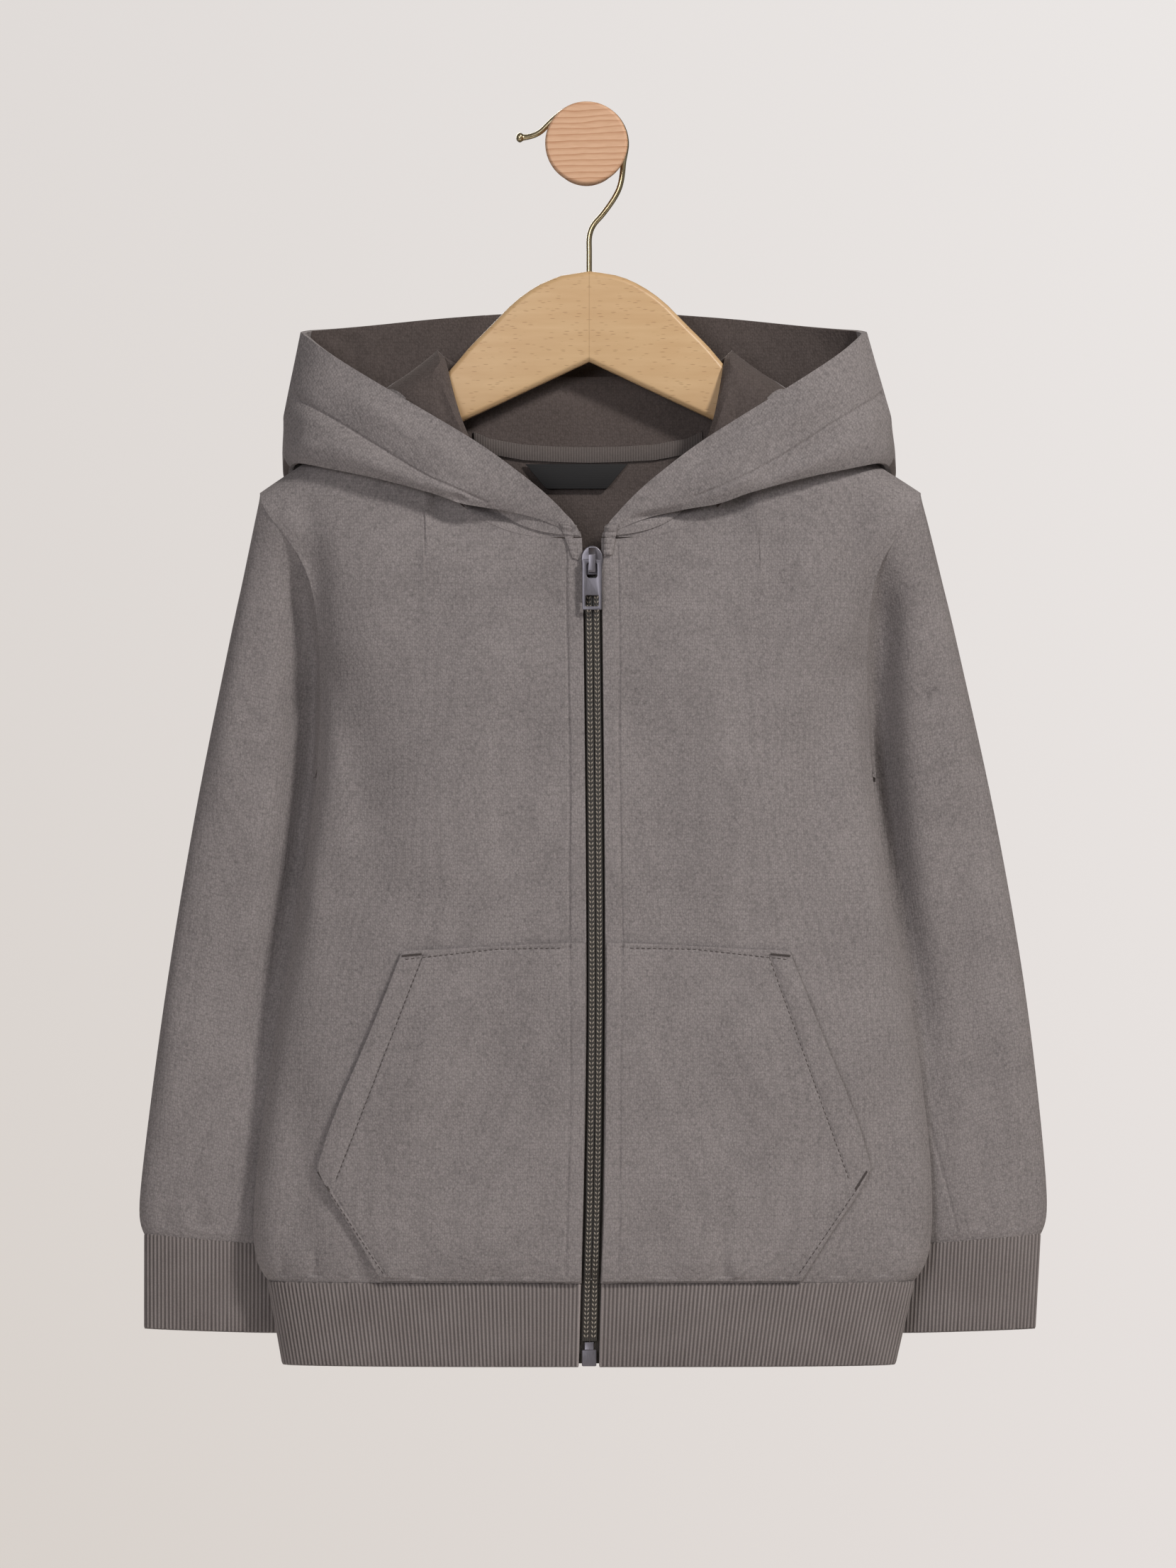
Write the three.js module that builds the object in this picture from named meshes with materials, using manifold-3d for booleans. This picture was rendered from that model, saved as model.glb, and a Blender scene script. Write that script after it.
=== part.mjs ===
// Child's zip-up hoodie on a wooden hanger, hung from a round wall peg.
//
// Millimetres, +Z up. The origin is the middle of the peg's back face, on the wall. The wall is
// the plane y = 0 and the garment hangs in front of it, towards -Y. Left and right are as seen
// from the front. Inside the garment a point is given by
//   d  its distance from the zip line, to either side,
//   h  its depth behind the plane of the hanger (negative is in front of it), and
//   z  its height.
import * as THREE from "three";
import { mergeVertices } from "three/addons/utils/BufferGeometryUtils.js";
import Module from "manifold-3d";

const wasm = await Module();
wasm.setup();

// Driving dimensions.
const HANG_DEPTH = 50; // from the wall to the plane of the hanger
const CLOTH = 2; // brushed sweatshirt fleece
const BAND = 3; // turned hem of the hood, two layers pressed flat
const RIB_WALL = 1.8; // rib knit between its ribs
const RIB_RISE = 0.7; // how far a rib stands out
const RIB_PITCH = 2.2; // from one rib to the next
const SEAM_GAP = 0.3; // between pieces that are sewn together
const HEM_SEAM = -655; // where the body meets the hem rib
const HEM = -704; // lowest edge of the garment
const NECK_SEAM_LEAD = 1.9; // the hood's cloth starts this far above the neck seam
const ARM_SEAM_LEAD = 1.6; // the sleeve's cloth starts this far outside the armhole seam

const BACK_ARM_LEAD = 3.3; // and this far outside it low down behind, where it turns back

const LEFT = -1;
const RIGHT = 1;

const COLOUR = {
  fleece: new THREE.MeshStandardMaterial({ color: 0x7d7371, roughness: 0.95, metalness: 0 }),
  lining: new THREE.MeshStandardMaterial({ color: 0x6c6361, roughness: 0.95, metalness: 0 }),
  rib: new THREE.MeshStandardMaterial({ color: 0x716866, roughness: 0.95, metalness: 0 }),
  tape: new THREE.MeshStandardMaterial({ color: 0x3a3632, roughness: 0.9, metalness: 0 }),
  coil: new THREE.MeshStandardMaterial({ color: 0x57534a, roughness: 0.6, metalness: 0 }),
  label: new THREE.MeshStandardMaterial({ color: 0x17171a, roughness: 0.7, metalness: 0 }),
  gunmetal: new THREE.MeshStandardMaterial({ color: 0x6a6a72, roughness: 0.3, metalness: 1 }),
  beech: new THREE.MeshStandardMaterial({ color: 0xd0a878, roughness: 0.55, metalness: 0 }),
  larch: new THREE.MeshStandardMaterial({ color: 0xcca382, roughness: 0.65, metalness: 0 }),
  brass: new THREE.MeshStandardMaterial({ color: 0xcfc4a4, roughness: 0.25, metalness: 1 }),
};

// The zip line, which hangs a little out of true.
const ZIP_LINE = [
  { z: -704, x: 1.4 },
  { z: -655, x: 2.7 },
  { z: -600, x: 4.2 },
  { z: -480, x: 5.4 },
  { z: -300, x: 4.0 },
  { z: -229, x: 3.0 },
  { z: -110, x: -1.5 },
];

// The body as a tube hung flat: half its width, its depth in front of and behind the hanger on
// the zip line, and the depth of its side seam.
const BODY = [
  { z: -704, half: 175.5, front: -22, back: 11, seam: 3 },
  { z: -680, half: 180, front: -23, back: 12, seam: 3 },
  { z: -655, half: 185.5, front: -24, back: 12.5, seam: 3 },
  { z: -650, half: 190, front: -26, back: 13.5, seam: 3 },
  { z: -640, half: 194.5, front: -27.5, back: 14, seam: 3 },
  { z: -615, half: 195.5, front: -28, back: 14, seam: 3.5 },
  { z: -580, half: 193, front: -28, back: 14, seam: 4 },
  { z: -545, half: 188.5, front: -28, back: 14, seam: 4 },
  { z: -505, half: 182.8, front: -27.5, back: 14, seam: 4 },
  { z: -460, half: 174, front: -27, back: 14, seam: 4 },
  { z: -415, half: 165.7, front: -26, back: 14.5, seam: 4.5 },
  { z: -365, half: 159, front: -25, back: 15, seam: 6 },
  { z: -300, half: 157.5, front: -24, back: 15, seam: 6 },
  { z: -229, half: 175, front: -23, back: 14, seam: 0 },
  { z: -203, half: 190, front: -19.5, back: 15, seam: 0 },
  { z: -139, half: 190, front: -14.5, back: 14, seam: 0 },
];

// The armhole from the shoulder tip down to the underarm, with the depth of its front and back.
const ARMHOLE = [
  { share: 0, d: 190, z: -202, front: -0.2, back: 0.2 },
  { share: 0.02, d: 189.6, z: -205.5, front: -6, back: 6 },
  { share: 0.055, d: 187.6, z: -211, front: -7.8, back: 7.8 },
  { share: 0.12, d: 181.5, z: -219, front: -9.5, back: 9.5 },
  { share: 0.24, d: 168.5, z: -235, front: -11, back: 12.5 },
  { share: 0.38, d: 159.5, z: -257, front: -9, back: 15 },
  { share: 0.55, d: 157, z: -288, front: -3, back: 17 },
  { share: 0.76, d: 157, z: -326, front: 2.5, back: 14 },
  { share: 1, d: 159, z: -365, front: 5.85, back: 6.15 },
];

// Heights of the panels' rows below the underarm.
const PANEL_ROWS = [-655, -650, -640, -615, -580, -545, -505, -460, -415, -365];

// A column of a front panel each: its share of the half width at the hem, and where it ends at
// the top, on the neckline or, past the neck point, on the shoulder seam.
const FRONT_COLUMNS = [
  { hem: 0.031, d: 5.8, h: -23, z: -228 },
  { hem: 0.076, d: 14.2, h: -23, z: -228.6 },
  { hem: 0.083, d: 15.6, h: -23, z: -228.6 },
  { hem: 0.17, d: 33, h: -22.5, z: -227 },
  { hem: 0.28, d: 55, h: -21, z: -221 },
  { hem: 0.38, d: 72, h: -18.5, z: -211 },
  { hem: 0.47, d: 85, h: -14.5, z: -196 },
  { hem: 0.54, d: 91.5, h: -10.5, z: -177 },
  { hem: 0.59, d: 93.6, h: -9, z: -155 },
  { hem: 0.63, d: 93.8, h: -8, z: -143 },
  { hem: 0.69, d: 94.4, h: -0.2, z: -137.6 },
  { hem: 0.76, d: 108, h: -0.2, z: -147 },
  { hem: 0.83, d: 127, h: -0.2, z: -160.2 },
  { hem: 0.89, d: 147, h: -0.2, z: -173.5 },
  { hem: 0.94, d: 164, h: -0.2, z: -185 },
  { hem: 0.98, d: 179, h: -0.2, z: -194.5 },
  { hem: 1, d: 190, h: -0.2, z: -202 },
];
const NECK_POINT = 10; // the row of FRONT_COLUMNS and BACK_COLUMNS at the neck point
const BACK_COLUMNS = [
  { hem: 0, d: 0, h: 12.5, z: -179 },
  { hem: 0.1, d: 18, h: 12.5, z: -178.6 },
  { hem: 0.2, d: 38, h: 12.3, z: -177.5 },
  { hem: 0.3, d: 57, h: 12, z: -174 },
  { hem: 0.38, d: 66, h: 11.3, z: -170 },
  { hem: 0.45, d: 77, h: 10.2, z: -163 },
  { hem: 0.52, d: 84, h: 9.4, z: -156 },
  { hem: 0.57, d: 89, h: 8.8, z: -149 },
  { hem: 0.61, d: 91.5, h: 8.4, z: -145.5 },
  { hem: 0.65, d: 93, h: 7.8, z: -142 },
  { hem: 0.69, d: 93.5, h: 0.2, z: -137 },
  { hem: 0.76, d: 108, h: 0.2, z: -147 },
  { hem: 0.83, d: 127, h: 0.2, z: -160.2 },
  { hem: 0.89, d: 147, h: 0.2, z: -173.5 },
  { hem: 0.94, d: 164, h: 0.2, z: -185 },
  { hem: 0.98, d: 179, h: 0.2, z: -194.5 },
  { hem: 1, d: 190, h: 0.2, z: -202 },
];
const FRONT_FLATNESS = 3; // the higher, the flatter the front and the rounder its side fold
const BACK_FLATNESS = 3.4;
const SHOULDER_ROLL = 18; // height over which the cloth rolls off the hanger's arm
const NECK_SETTLE = 45; // height over which the neckline's depth settles into the panel's
const STRIP_RISE = 0.7; // turned edge beside the zip, over the tape
const STRIP_END = 1; // column where that edge ends

// A sleeve from the armhole to the cuff seam: its outer and inner edge, and half its depth.
const SLEEVE = [
  { s: 0, outerD: 190, outerZ: -202, outerH: 0, innerD: 159, innerZ: -365, innerH: 6, half: 9 },
  { s: 0.05, outerD: 193, outerZ: -215, outerH: 3, innerD: 159, innerZ: -371, innerH: 14, half: 11 },
  { s: 0.12, outerD: 199, outerZ: -240, outerH: 8, innerD: 157, innerZ: -384, innerH: 20, half: 12 },
  { s: 0.25, outerD: 211, outerZ: -295, outerH: 15, innerD: 149, innerZ: -420, innerH: 24, half: 13 },
  { s: 0.4, outerD: 226, outerZ: -362, outerH: 20, innerD: 142, innerZ: -464, innerH: 25, half: 14 },
  { s: 0.55, outerD: 239, outerZ: -431, outerH: 22, innerD: 143, innerZ: -507, innerH: 25, half: 14 },
  { s: 0.7, outerD: 249.5, outerZ: -497, outerH: 22.5, innerD: 150, innerZ: -549, innerH: 24, half: 13.5 },
  { s: 0.85, outerD: 257.5, outerZ: -562, outerH: 22.5, innerD: 161, innerZ: -592, innerH: 23.5, half: 13 },
  { s: 0.95, outerD: 262, outerZ: -606, outerH: 22, innerD: 172, innerZ: -619, innerH: 23, half: 12.5 },
  { s: 0.985, outerD: 262.5, outerZ: -621.5, outerH: 22, innerD: 177, innerZ: -630.5, innerH: 22.5, half: 12 },
  { s: 1, outerD: 259.5, outerZ: -628, outerH: 22, innerD: 181, innerZ: -634.5, innerH: 22, half: 9.8 },
];
const ARMHOLE_FADE = 0.3; // share of the sleeve over which the armhole's own shape fades out
const CUFF = [
  { s: 0, outerD: 258.6, outerZ: -629, outerH: 22, innerD: 182, innerZ: -635.6, innerH: 22, half: 9 },
  { s: 0.5, outerD: 257.6, outerZ: -656, outerH: 22, innerD: 181, innerZ: -661, innerH: 22, half: 8.5 },
  { s: 1, outerD: 257.2, outerZ: -684.5, outerH: 22, innerD: 180.5, innerZ: -687, innerH: 22, half: 8 },
];

// The hood, laid open, from the zip round to the middle of the back. The cloth rises from the
// neck seam (n) to an inner fold (k), turns down to a roll (r) and rises again to the edge of the
// face opening (e). turn is the way it faces in plan, from 0 in front to 180 behind, and foldK and
// foldR are the radii of the two folds.
const HOOD = [
  { at: 0, turn: 0, foldK: 0.2, foldR: 0.3, nd: 6.4, nh: -23, nz: -227.5, kd: 8.5, kh: -23.8, kz: -225, rd: 10.5, rh: -24.8, rz: -222.4, ed: 12.8, eh: -25.6, ez: -219 },
  { at: 0.07, turn: 5, foldK: 0.3, foldR: 0.6, nd: 33, nh: -22.5, nz: -227, kd: 31.5, kh: -23.4, kz: -221, rd: 30, rh: -26, rz: -214, ed: 26, eh: -28, ez: -205 },
  { at: 0.14, turn: 8, foldK: 1.2, foldR: 2, nd: 55, nh: -21, nz: -221, kd: 53, kh: -20.5, kz: -208, rd: 53.5, rh: -27, rz: -209, ed: 44, eh: -30, ez: -190 },
  { at: 0.21, turn: 12, foldK: 3, foldR: 3.6, nd: 72, nh: -18.5, nz: -211, kd: 65, kh: -17, kz: -181, rd: 75, rh: -28.5, rz: -206, ed: 66, eh: -30.5, ez: -174 },
  { at: 0.29, turn: 18, foldK: 3.6, foldR: 4, nd: 85, nh: -14.5, nz: -196, kd: 73, kh: -15.5, kz: -160, rd: 97, rh: -28, rz: -200, ed: 93, eh: -29, ez: -157.5 },
  { at: 0.36, turn: 35, foldK: 3.6, foldR: 4.4, nd: 91.5, nh: -10.5, nz: -177, kd: 79, kh: -13.5, kz: -142, rd: 124, rh: -25, rz: -192.5, ed: 121, eh: -25, ez: -140.5 },
  { at: 0.43, turn: 60, foldK: 3.6, foldR: 4.6, nd: 94, nh: -9, nz: -155, kd: 83, kh: -11, kz: -127, rd: 152, rh: -19, rz: -187, ed: 147, eh: -17, ez: -124 },
  { at: 0.465, turn: 76, foldK: 3.6, foldR: 4.7, nd: 94, nh: -8, nz: -143, kd: 84.5, kh: -6, kz: -122.5, rd: 164, rh: -12, rz: -184, ed: 157, eh: -9.5, ez: -116 },
  { at: 0.5, turn: 95, foldK: 3.6, foldR: 4.8, nd: 93.5, nh: 0, nz: -137, kd: 85.5, kh: 3, kz: -119, rd: 172, rh: 1, rz: -184, ed: 163, eh: -1, ez: -110.5 },
  { at: 0.535, turn: 112, foldK: 3.6, foldR: 4.8, nd: 93, nh: 7.8, nz: -142, kd: 84.5, kh: 9.5, kz: -120, rd: 172, rh: 16, rz: -195, ed: 160, eh: 9, ez: -109 },
  { at: 0.575, turn: 130, foldK: 3.6, foldR: 4.8, nd: 89, nh: 8.8, nz: -149, kd: 82, kh: 13.5, kz: -122.5, rd: 166, rh: 22, rz: -222, ed: 152, eh: 17, ez: -108.3 },
  { at: 0.66, turn: 155, foldK: 3.6, foldR: 4.8, nd: 77, nh: 10.2, nz: -163, kd: 73.5, kh: 16, kz: -127.5, rd: 140, rh: 26, rz: -272, ed: 124, eh: 26, ez: -105.5 },
  { at: 0.76, turn: 170, foldK: 3.6, foldR: 4.8, nd: 66, nh: 11.3, nz: -170, kd: 65, kh: 16.5, kz: -131, rd: 100, rh: 27, rz: -313, ed: 90, eh: 29.5, ez: -101.5 },
  { at: 0.85, turn: 178, foldK: 3.6, foldR: 4.8, nd: 57, nh: 12, nz: -174, kd: 57, kh: 17, kz: -133.5, rd: 59, rh: 27.5, rz: -334, ed: 57.5, eh: 31, ez: -98.5 },
  { at: 1, turn: 180, foldK: 3.6, foldR: 4.8, nd: 0, nh: 12.5, nz: -179, kd: 0, kh: 17, kz: -134.5, rd: 0, rh: 27.5, rz: -342, ed: 0, eh: 32, ez: -96.5 },
];
const GUSSET_AT = 0.85; // where the seam between the hood's side and middle panels lies
const HOOD_STEPS = [3, 2, 3, 3, 5]; // rows of each stretch of the profile, from neck to edge

// The pocket's outline on the front panel, from its lowest corner round its mouth to the top.
const POCKET = [
  { v: 0, outD: 120.5, outZ: -653.5, inZ: -653.5, lift: 0 },
  { v: 0.03, outD: 123, outZ: -649.5, inZ: -649.5, lift: 0 },
  { v: 0.08, outD: 129, outZ: -640, inZ: -640, lift: 0.1 },
  { v: 0.16, outD: 140, outZ: -621, inZ: -621, lift: 0.2 },
  { v: 0.32, outD: 158.5, outZ: -590, inZ: -590, lift: 0.6 },
  { v: 0.5, outD: 147.5, outZ: -556, inZ: -556, lift: 1.5 },
  { v: 0.75, outD: 127.5, outZ: -508, inZ: -508, lift: 1.6 },
  { v: 1, outD: 111, outZ: -465, inZ: -460, lift: 0.4 },
];

// Hardware, measured from the photograph.
const ZIP_HALF_GAP = 5.8; // from the zip line to the edge of each front panel
// Sections of the zip on one side: distance from its line and depth behind the panel's middle.
const TAPE_SECTION = [{ d: 0.2, h: 1.4 }, { d: 12, h: 2.4 }];
const CHAIN_SECTION = [{ d: 0.2, h: -0.8 }, { d: 4.1, h: 1.1 }];
const SLIDER_TOP = -232.2;
const SLIDER_WIDTH = 12.9;
const SLIDER_LENGTH = 17;
const TAB_TOP = -240.2;
const TAB_WIDTH = 11.3;
const TAB_LENGTH = 29;
const TAB_PLATE = 1.5;
const BOX_STOP = { width: 8.4, height: 9.5, depth: 4 };
const PEG_HEAD_RADIUS = 23.9;
const PEG_HEAD_DEPTH = 12;
const PEG_NECK_RADIUS = 21;
const WIRE = 3.5;
const CROOK_RADIUS = 23.1;
const YOKE_DEPTH = 12;

/** Slopes for a smooth reading of a table that never overshoots its rows. */
function slopes(xs, ys) {
  const steps = xs.slice(1).map((x, i) => (ys[i + 1] - ys[i]) / (x - xs[i]));
  return xs.map((_, i) => {
    if (i === 0) return steps[0];
    if (i === xs.length - 1) return steps[i - 1];
    const [a, b] = [steps[i - 1], steps[i]];
    return a * b <= 0 ? 0 : (2 * a * b) / (a + b);
  });
}

/** A function that reads the named columns of a table, smoothly, by the value of one column. */
function reader(rows, key) {
  const xs = rows.map((row) => row[key]);
  const names = Object.keys(rows[0]).filter((name) => name !== key);
  const columns = names.map((name) => {
    const ys = rows.map((row) => row[name]);
    return { name, ys, slope: slopes(xs, ys) };
  });
  return (value) => {
    const x = THREE.MathUtils.clamp(value, xs[0], xs[xs.length - 1]);
    let i = xs.findIndex((edge) => edge > x) - 1;
    if (i < 0) i = xs.length - 2;
    const width = xs[i + 1] - xs[i];
    const t = (x - xs[i]) / width;
    const out = {};
    for (const { name, ys, slope } of columns) {
      const rise = t * t * (3 - 2 * t);
      out[name] =
        ys[i] * (1 - rise) +
        ys[i + 1] * rise +
        width * (slope[i] * t * (1 - t) * (1 - t) - slope[i + 1] * t * t * (1 - t));
    }
    return out;
  };
}

/** The same columns read along straight lines between the rows. */
function straightReader(rows, key) {
  return (value) => {
    let i = rows.findIndex((row) => row[key] >= value) - 1;
    if (i < 0) i = value <= rows[0][key] ? 0 : rows.length - 2;
    const t = (value - rows[i][key]) / (rows[i + 1][key] - rows[i][key]);
    const out = {};
    for (const name of Object.keys(rows[0])) {
      out[name] = THREE.MathUtils.lerp(rows[i][name], rows[i + 1][name], t);
    }
    return out;
  };
}

const zipLine = reader(ZIP_LINE, "z");
const body = reader(BODY, "z");
const armholeByHeight = reader([...ARMHOLE].reverse(), "z");
const armholeByShare = straightReader(ARMHOLE, "share");
const UNDERARM = ARMHOLE[ARMHOLE.length - 1].z;
const SHOULDER_TIP = ARMHOLE[0].z;

/** A point of the garment from its distance, depth and height. */
function place(side, d, h, z) {
  return new THREE.Vector3(zipLine(z).x + side * d, h, z);
}

/** The edge of a body panel at a height: the side seam, or the armhole above the underarm. */
function panelEdge(z, face) {
  if (z <= UNDERARM) {
    const { half, seam } = body(z);
    return { d: half, h: seam + (face === "front" ? -SEAM_GAP / 2 : SEAM_GAP / 2) };
  }
  const arm = armholeByHeight(Math.min(z, SHOULDER_TIP));
  return { d: arm.d, h: arm[face] };
}

/** Depth of a body panel at a distance from the zip line and a height. */
function panelDepth(d, z, face) {
  const edge = panelEdge(z, face);
  const middle = body(z)[face];
  const flatness = face === "front" ? FRONT_FLATNESS : BACK_FLATNESS;
  const reach = THREE.MathUtils.clamp(d / edge.d, 0, 1);
  return edge.h + (middle - edge.h) * Math.sqrt(1 - Math.pow(reach, flatness));
}

/** A point of a body panel, from the table of its columns. */
function panelPoint(side, face, columns, column, row) {
  const below = PANEL_ROWS.length - 1;
  const sideZ = row <= below ? PANEL_ROWS[row] : ARMHOLE[ARMHOLE.length - 1 - (row - below)].z;
  const edge = panelEdge(sideZ, face);
  if (column === columns.length - 1) return place(side, edge.d, edge.h, sideZ);
  const top = columns[column];
  const v = (sideZ - HEM_SEAM) / (SHOULDER_TIP - HEM_SEAM);
  const hemHalf = body(HEM_SEAM).half;
  const z = THREE.MathUtils.lerp(HEM_SEAM, top.z, v);
  // The side's own curve is shared out across the panel, but stays by the armhole further up.
  const inset = edge.d - THREE.MathUtils.lerp(hemHalf, ARMHOLE[0].d, v);
  const power = 1 + 7 * THREE.MathUtils.smoothstep(v, 0.3, 0.95);
  const d = THREE.MathUtils.lerp(top.hem * hemHalf, top.d, v) + inset * Math.pow(top.hem, power);
  const drop = (1 - v) * (top.z - HEM_SEAM);
  let roll = THREE.MathUtils.smoothstep(drop, 0, NECK_SETTLE);
  if (column >= NECK_POINT) {
    const left = 1 - Math.min(1, drop / SHOULDER_ROLL);
    roll = Math.sqrt(1 - left * left);
  }
  return place(side, d, THREE.MathUtils.lerp(top.h, panelDepth(d, z, face), roll), z);
}

/** Unit normals of a grid of points, from its neighbours. */
function gridNormals(grid, closed) {
  const [across, up] = [grid.length, grid[0].length];
  const along = new THREE.Vector3();
  const rise = new THREE.Vector3();
  return grid.map((line, i) =>
    line.map((_, j) => {
      const before = closed ? (i + across - 1) % across : Math.max(0, i - 1);
      const after = closed ? (i + 1) % across : Math.min(across - 1, i + 1);
      along.subVectors(grid[after][j], grid[before][j]);
      rise.subVectors(line[Math.min(up - 1, j + 1)], line[Math.max(0, j - 1)]);
      return new THREE.Vector3().crossVectors(along, rise).normalize();
    }),
  );
}

/** A closed mesh from its vertices and triangles, turned so that it faces outwards. */
function closedGeometry(vertices, triangles) {
  let volume = 0;
  for (const [a, b, c] of triangles) {
    volume += vertices[a].dot(new THREE.Vector3().crossVectors(vertices[b], vertices[c]));
  }
  const index = volume < 0 ? triangles.map(([a, b, c]) => [a, c, b]) : triangles;
  const geometry = new THREE.BufferGeometry();
  geometry.setAttribute(
    "position",
    new THREE.Float32BufferAttribute(vertices.flatMap((v) => [v.x, v.y, v.z]), 3),
  );
  geometry.setIndex(index.flat());
  geometry.computeVertexNormals();
  return geometry;
}

/**
 * A wall of cloth along a grid of middle points, with its own thickness on each face. level may
 * name, for a point, an axis along which its thickness has no share.
 */
function wall(
  grid,
  { closed = false, outer = () => CLOTH / 2, inner = () => CLOTH / 2, level = () => null } = {},
) {
  const normals = gridNormals(grid, closed);
  normals.forEach((line, i) =>
    line.forEach((normal, j) => {
      const axis = level(i, j);
      if (axis) normal.setComponent("xyz".indexOf(axis), 0).normalize();
    }),
  );
  const [across, up] = [grid.length, grid[0].length];
  const vertices = [];
  for (const [sign, thick] of [[1, outer], [-1, inner]]) {
    for (let i = 0; i < across; i++) {
      for (let j = 0; j < up; j++) {
        vertices.push(grid[i][j].clone().addScaledVector(normals[i][j], sign * thick(i, j)));
      }
    }
  }
  const skin = across * up;
  const outside = (i, j) => (i % across) * up + j;
  const inside = (i, j) => skin + outside(i, j);
  const triangles = [];
  const quad = (a, b, c, d) => triangles.push([a, b, c], [a, c, d]);
  const lastColumn = closed ? across : across - 1;
  for (let i = 0; i < lastColumn; i++) {
    for (let j = 0; j < up - 1; j++) {
      quad(outside(i, j), outside(i + 1, j), outside(i + 1, j + 1), outside(i, j + 1));
      quad(inside(i, j), inside(i, j + 1), inside(i + 1, j + 1), inside(i + 1, j));
    }
    quad(outside(i, 0), inside(i, 0), inside(i + 1, 0), outside(i + 1, 0));
    quad(outside(i, up - 1), outside(i + 1, up - 1), inside(i + 1, up - 1), inside(i, up - 1));
  }
  if (!closed) {
    for (let j = 0; j < up - 1; j++) {
      quad(outside(0, j), outside(0, j + 1), inside(0, j + 1), inside(0, j));
      const i = across - 1;
      quad(outside(i, j), inside(i, j), inside(i, j + 1), outside(i, j + 1));
    }
  }
  return closedGeometry(vertices, triangles);
}

/** A grid of points from a function of column and row. */
function gridOf(columns, rows, point) {
  return Array.from({ length: columns }, (_, i) =>
    Array.from({ length: rows }, (_, j) => point(i, j)),
  );
}

const PANEL_ROW_COUNT = PANEL_ROWS.length + ARMHOLE.length - 1;

/**
 * The axis a panel's thickness stays clear of: depth on the side and shoulder seams, so that front
 * and back meet flat, and width beside the neckline.
 */
function panelLevel(column, row) {
  const onSide = column === FRONT_COLUMNS.length - 1 && row < PANEL_ROWS.length;
  if (onSide || (column >= NECK_POINT && row === PANEL_ROW_COUNT - 1)) return "y";
  return column < NECK_POINT && column > 3 && row > PANEL_ROW_COUNT - 4 ? "x" : null;
}

/** A front panel, with its turned edge raised beside the zip. */
function frontPanel(side) {
  const grid = gridOf(FRONT_COLUMNS.length, PANEL_ROW_COUNT, (i, j) =>
    panelPoint(side, "front", FRONT_COLUMNS, i, j),
  );
  const raised = (i) => CLOTH / 2 + (i <= STRIP_END ? STRIP_RISE : 0);
  const plain = () => CLOTH / 2;
  const [outer, inner] = side === LEFT ? [plain, raised] : [raised, plain];
  return wall(grid, { outer, inner, level: panelLevel });
}

/** The back panel, in one piece from side seam to side seam. */
function backPanel() {
  const last = BACK_COLUMNS.length - 1;
  const grid = gridOf(2 * last + 1, PANEL_ROW_COUNT, (i, j) =>
    panelPoint(i < last ? LEFT : RIGHT, "back", BACK_COLUMNS, Math.abs(i - last), j),
  );
  return wall(grid, { level: (i, j) => panelLevel(Math.abs(i - last), j) });
}

/** A point of a flattened tube between its outer and inner edge. turn 0 is the outer edge. */
function tubePoint(row, turn) {
  const share = (1 - Math.cos(turn)) / 2;
  return {
    share,
    d: THREE.MathUtils.lerp(row.outerD, row.innerD, share),
    h: THREE.MathUtils.lerp(row.outerH, row.innerH, share) - row.half * Math.sin(turn),
    z: THREE.MathUtils.lerp(row.outerZ, row.innerZ, share),
  };
}

const SLEEVE_COLUMNS = 20;
const SLEEVE_ROWS = [0, 0.05, 0.12, 0.2, 0.3, 0.42, 0.56, 0.7, 0.83, 0.94, 0.985, 1];
const sleeveSection = reader(SLEEVE, "s");
const cuffSection = reader(CUFF, "s");

/** A sleeve, set into the armhole and hanging to the cuff seam. */
function sleeve(side) {
  const start = sleeveSection(0);
  const point = (i, s) => {
    const turn = (2 * Math.PI * i) / SLEEVE_COLUMNS;
    const here = tubePoint(sleeveSection(s), turn);
    const origin = tubePoint(start, turn);
    const hole = armholeByShare(here.share);
    const depth = turn <= Math.PI ? hole.front : hole.back;
    const fade = Math.pow(Math.max(0, 1 - s / ARMHOLE_FADE), 2);
    const low = THREE.MathUtils.smoothstep(here.share, 0.2, 0.7);
    const under = THREE.MathUtils.smoothstep(turn, 0.7 * Math.PI, 0.95 * Math.PI);
    const behind = BACK_ARM_LEAD * (turn > Math.PI ? 0.35 + 0.65 * low : under);
    const d = here.d + fade * (hole.d + behind - origin.d);
    const h = here.h + fade * (depth - origin.h);
    const z = here.z + fade * (hole.z - origin.z);
    return place(side, d, h, z);
  };
  const grid = gridOf(SLEEVE_COLUMNS, SLEEVE_ROWS.length, (i, j) => point(i, SLEEVE_ROWS[j]));
  for (const line of grid) {
    const lead = line[1].clone().sub(line[0]).normalize().multiplyScalar(ARM_SEAM_LEAD);
    line[0].add(lead);
  }
  return wall(grid, { closed: true });
}

/** Points at equal steps along a closed or open line. */
function evenly(line, count, closed) {
  const curve = new THREE.CatmullRomCurve3(line, closed, "centripetal");
  curve.arcLengthDivisions = 600;
  return curve.getSpacedPoints(closed ? count : count - 1).slice(0, count);
}

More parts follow.
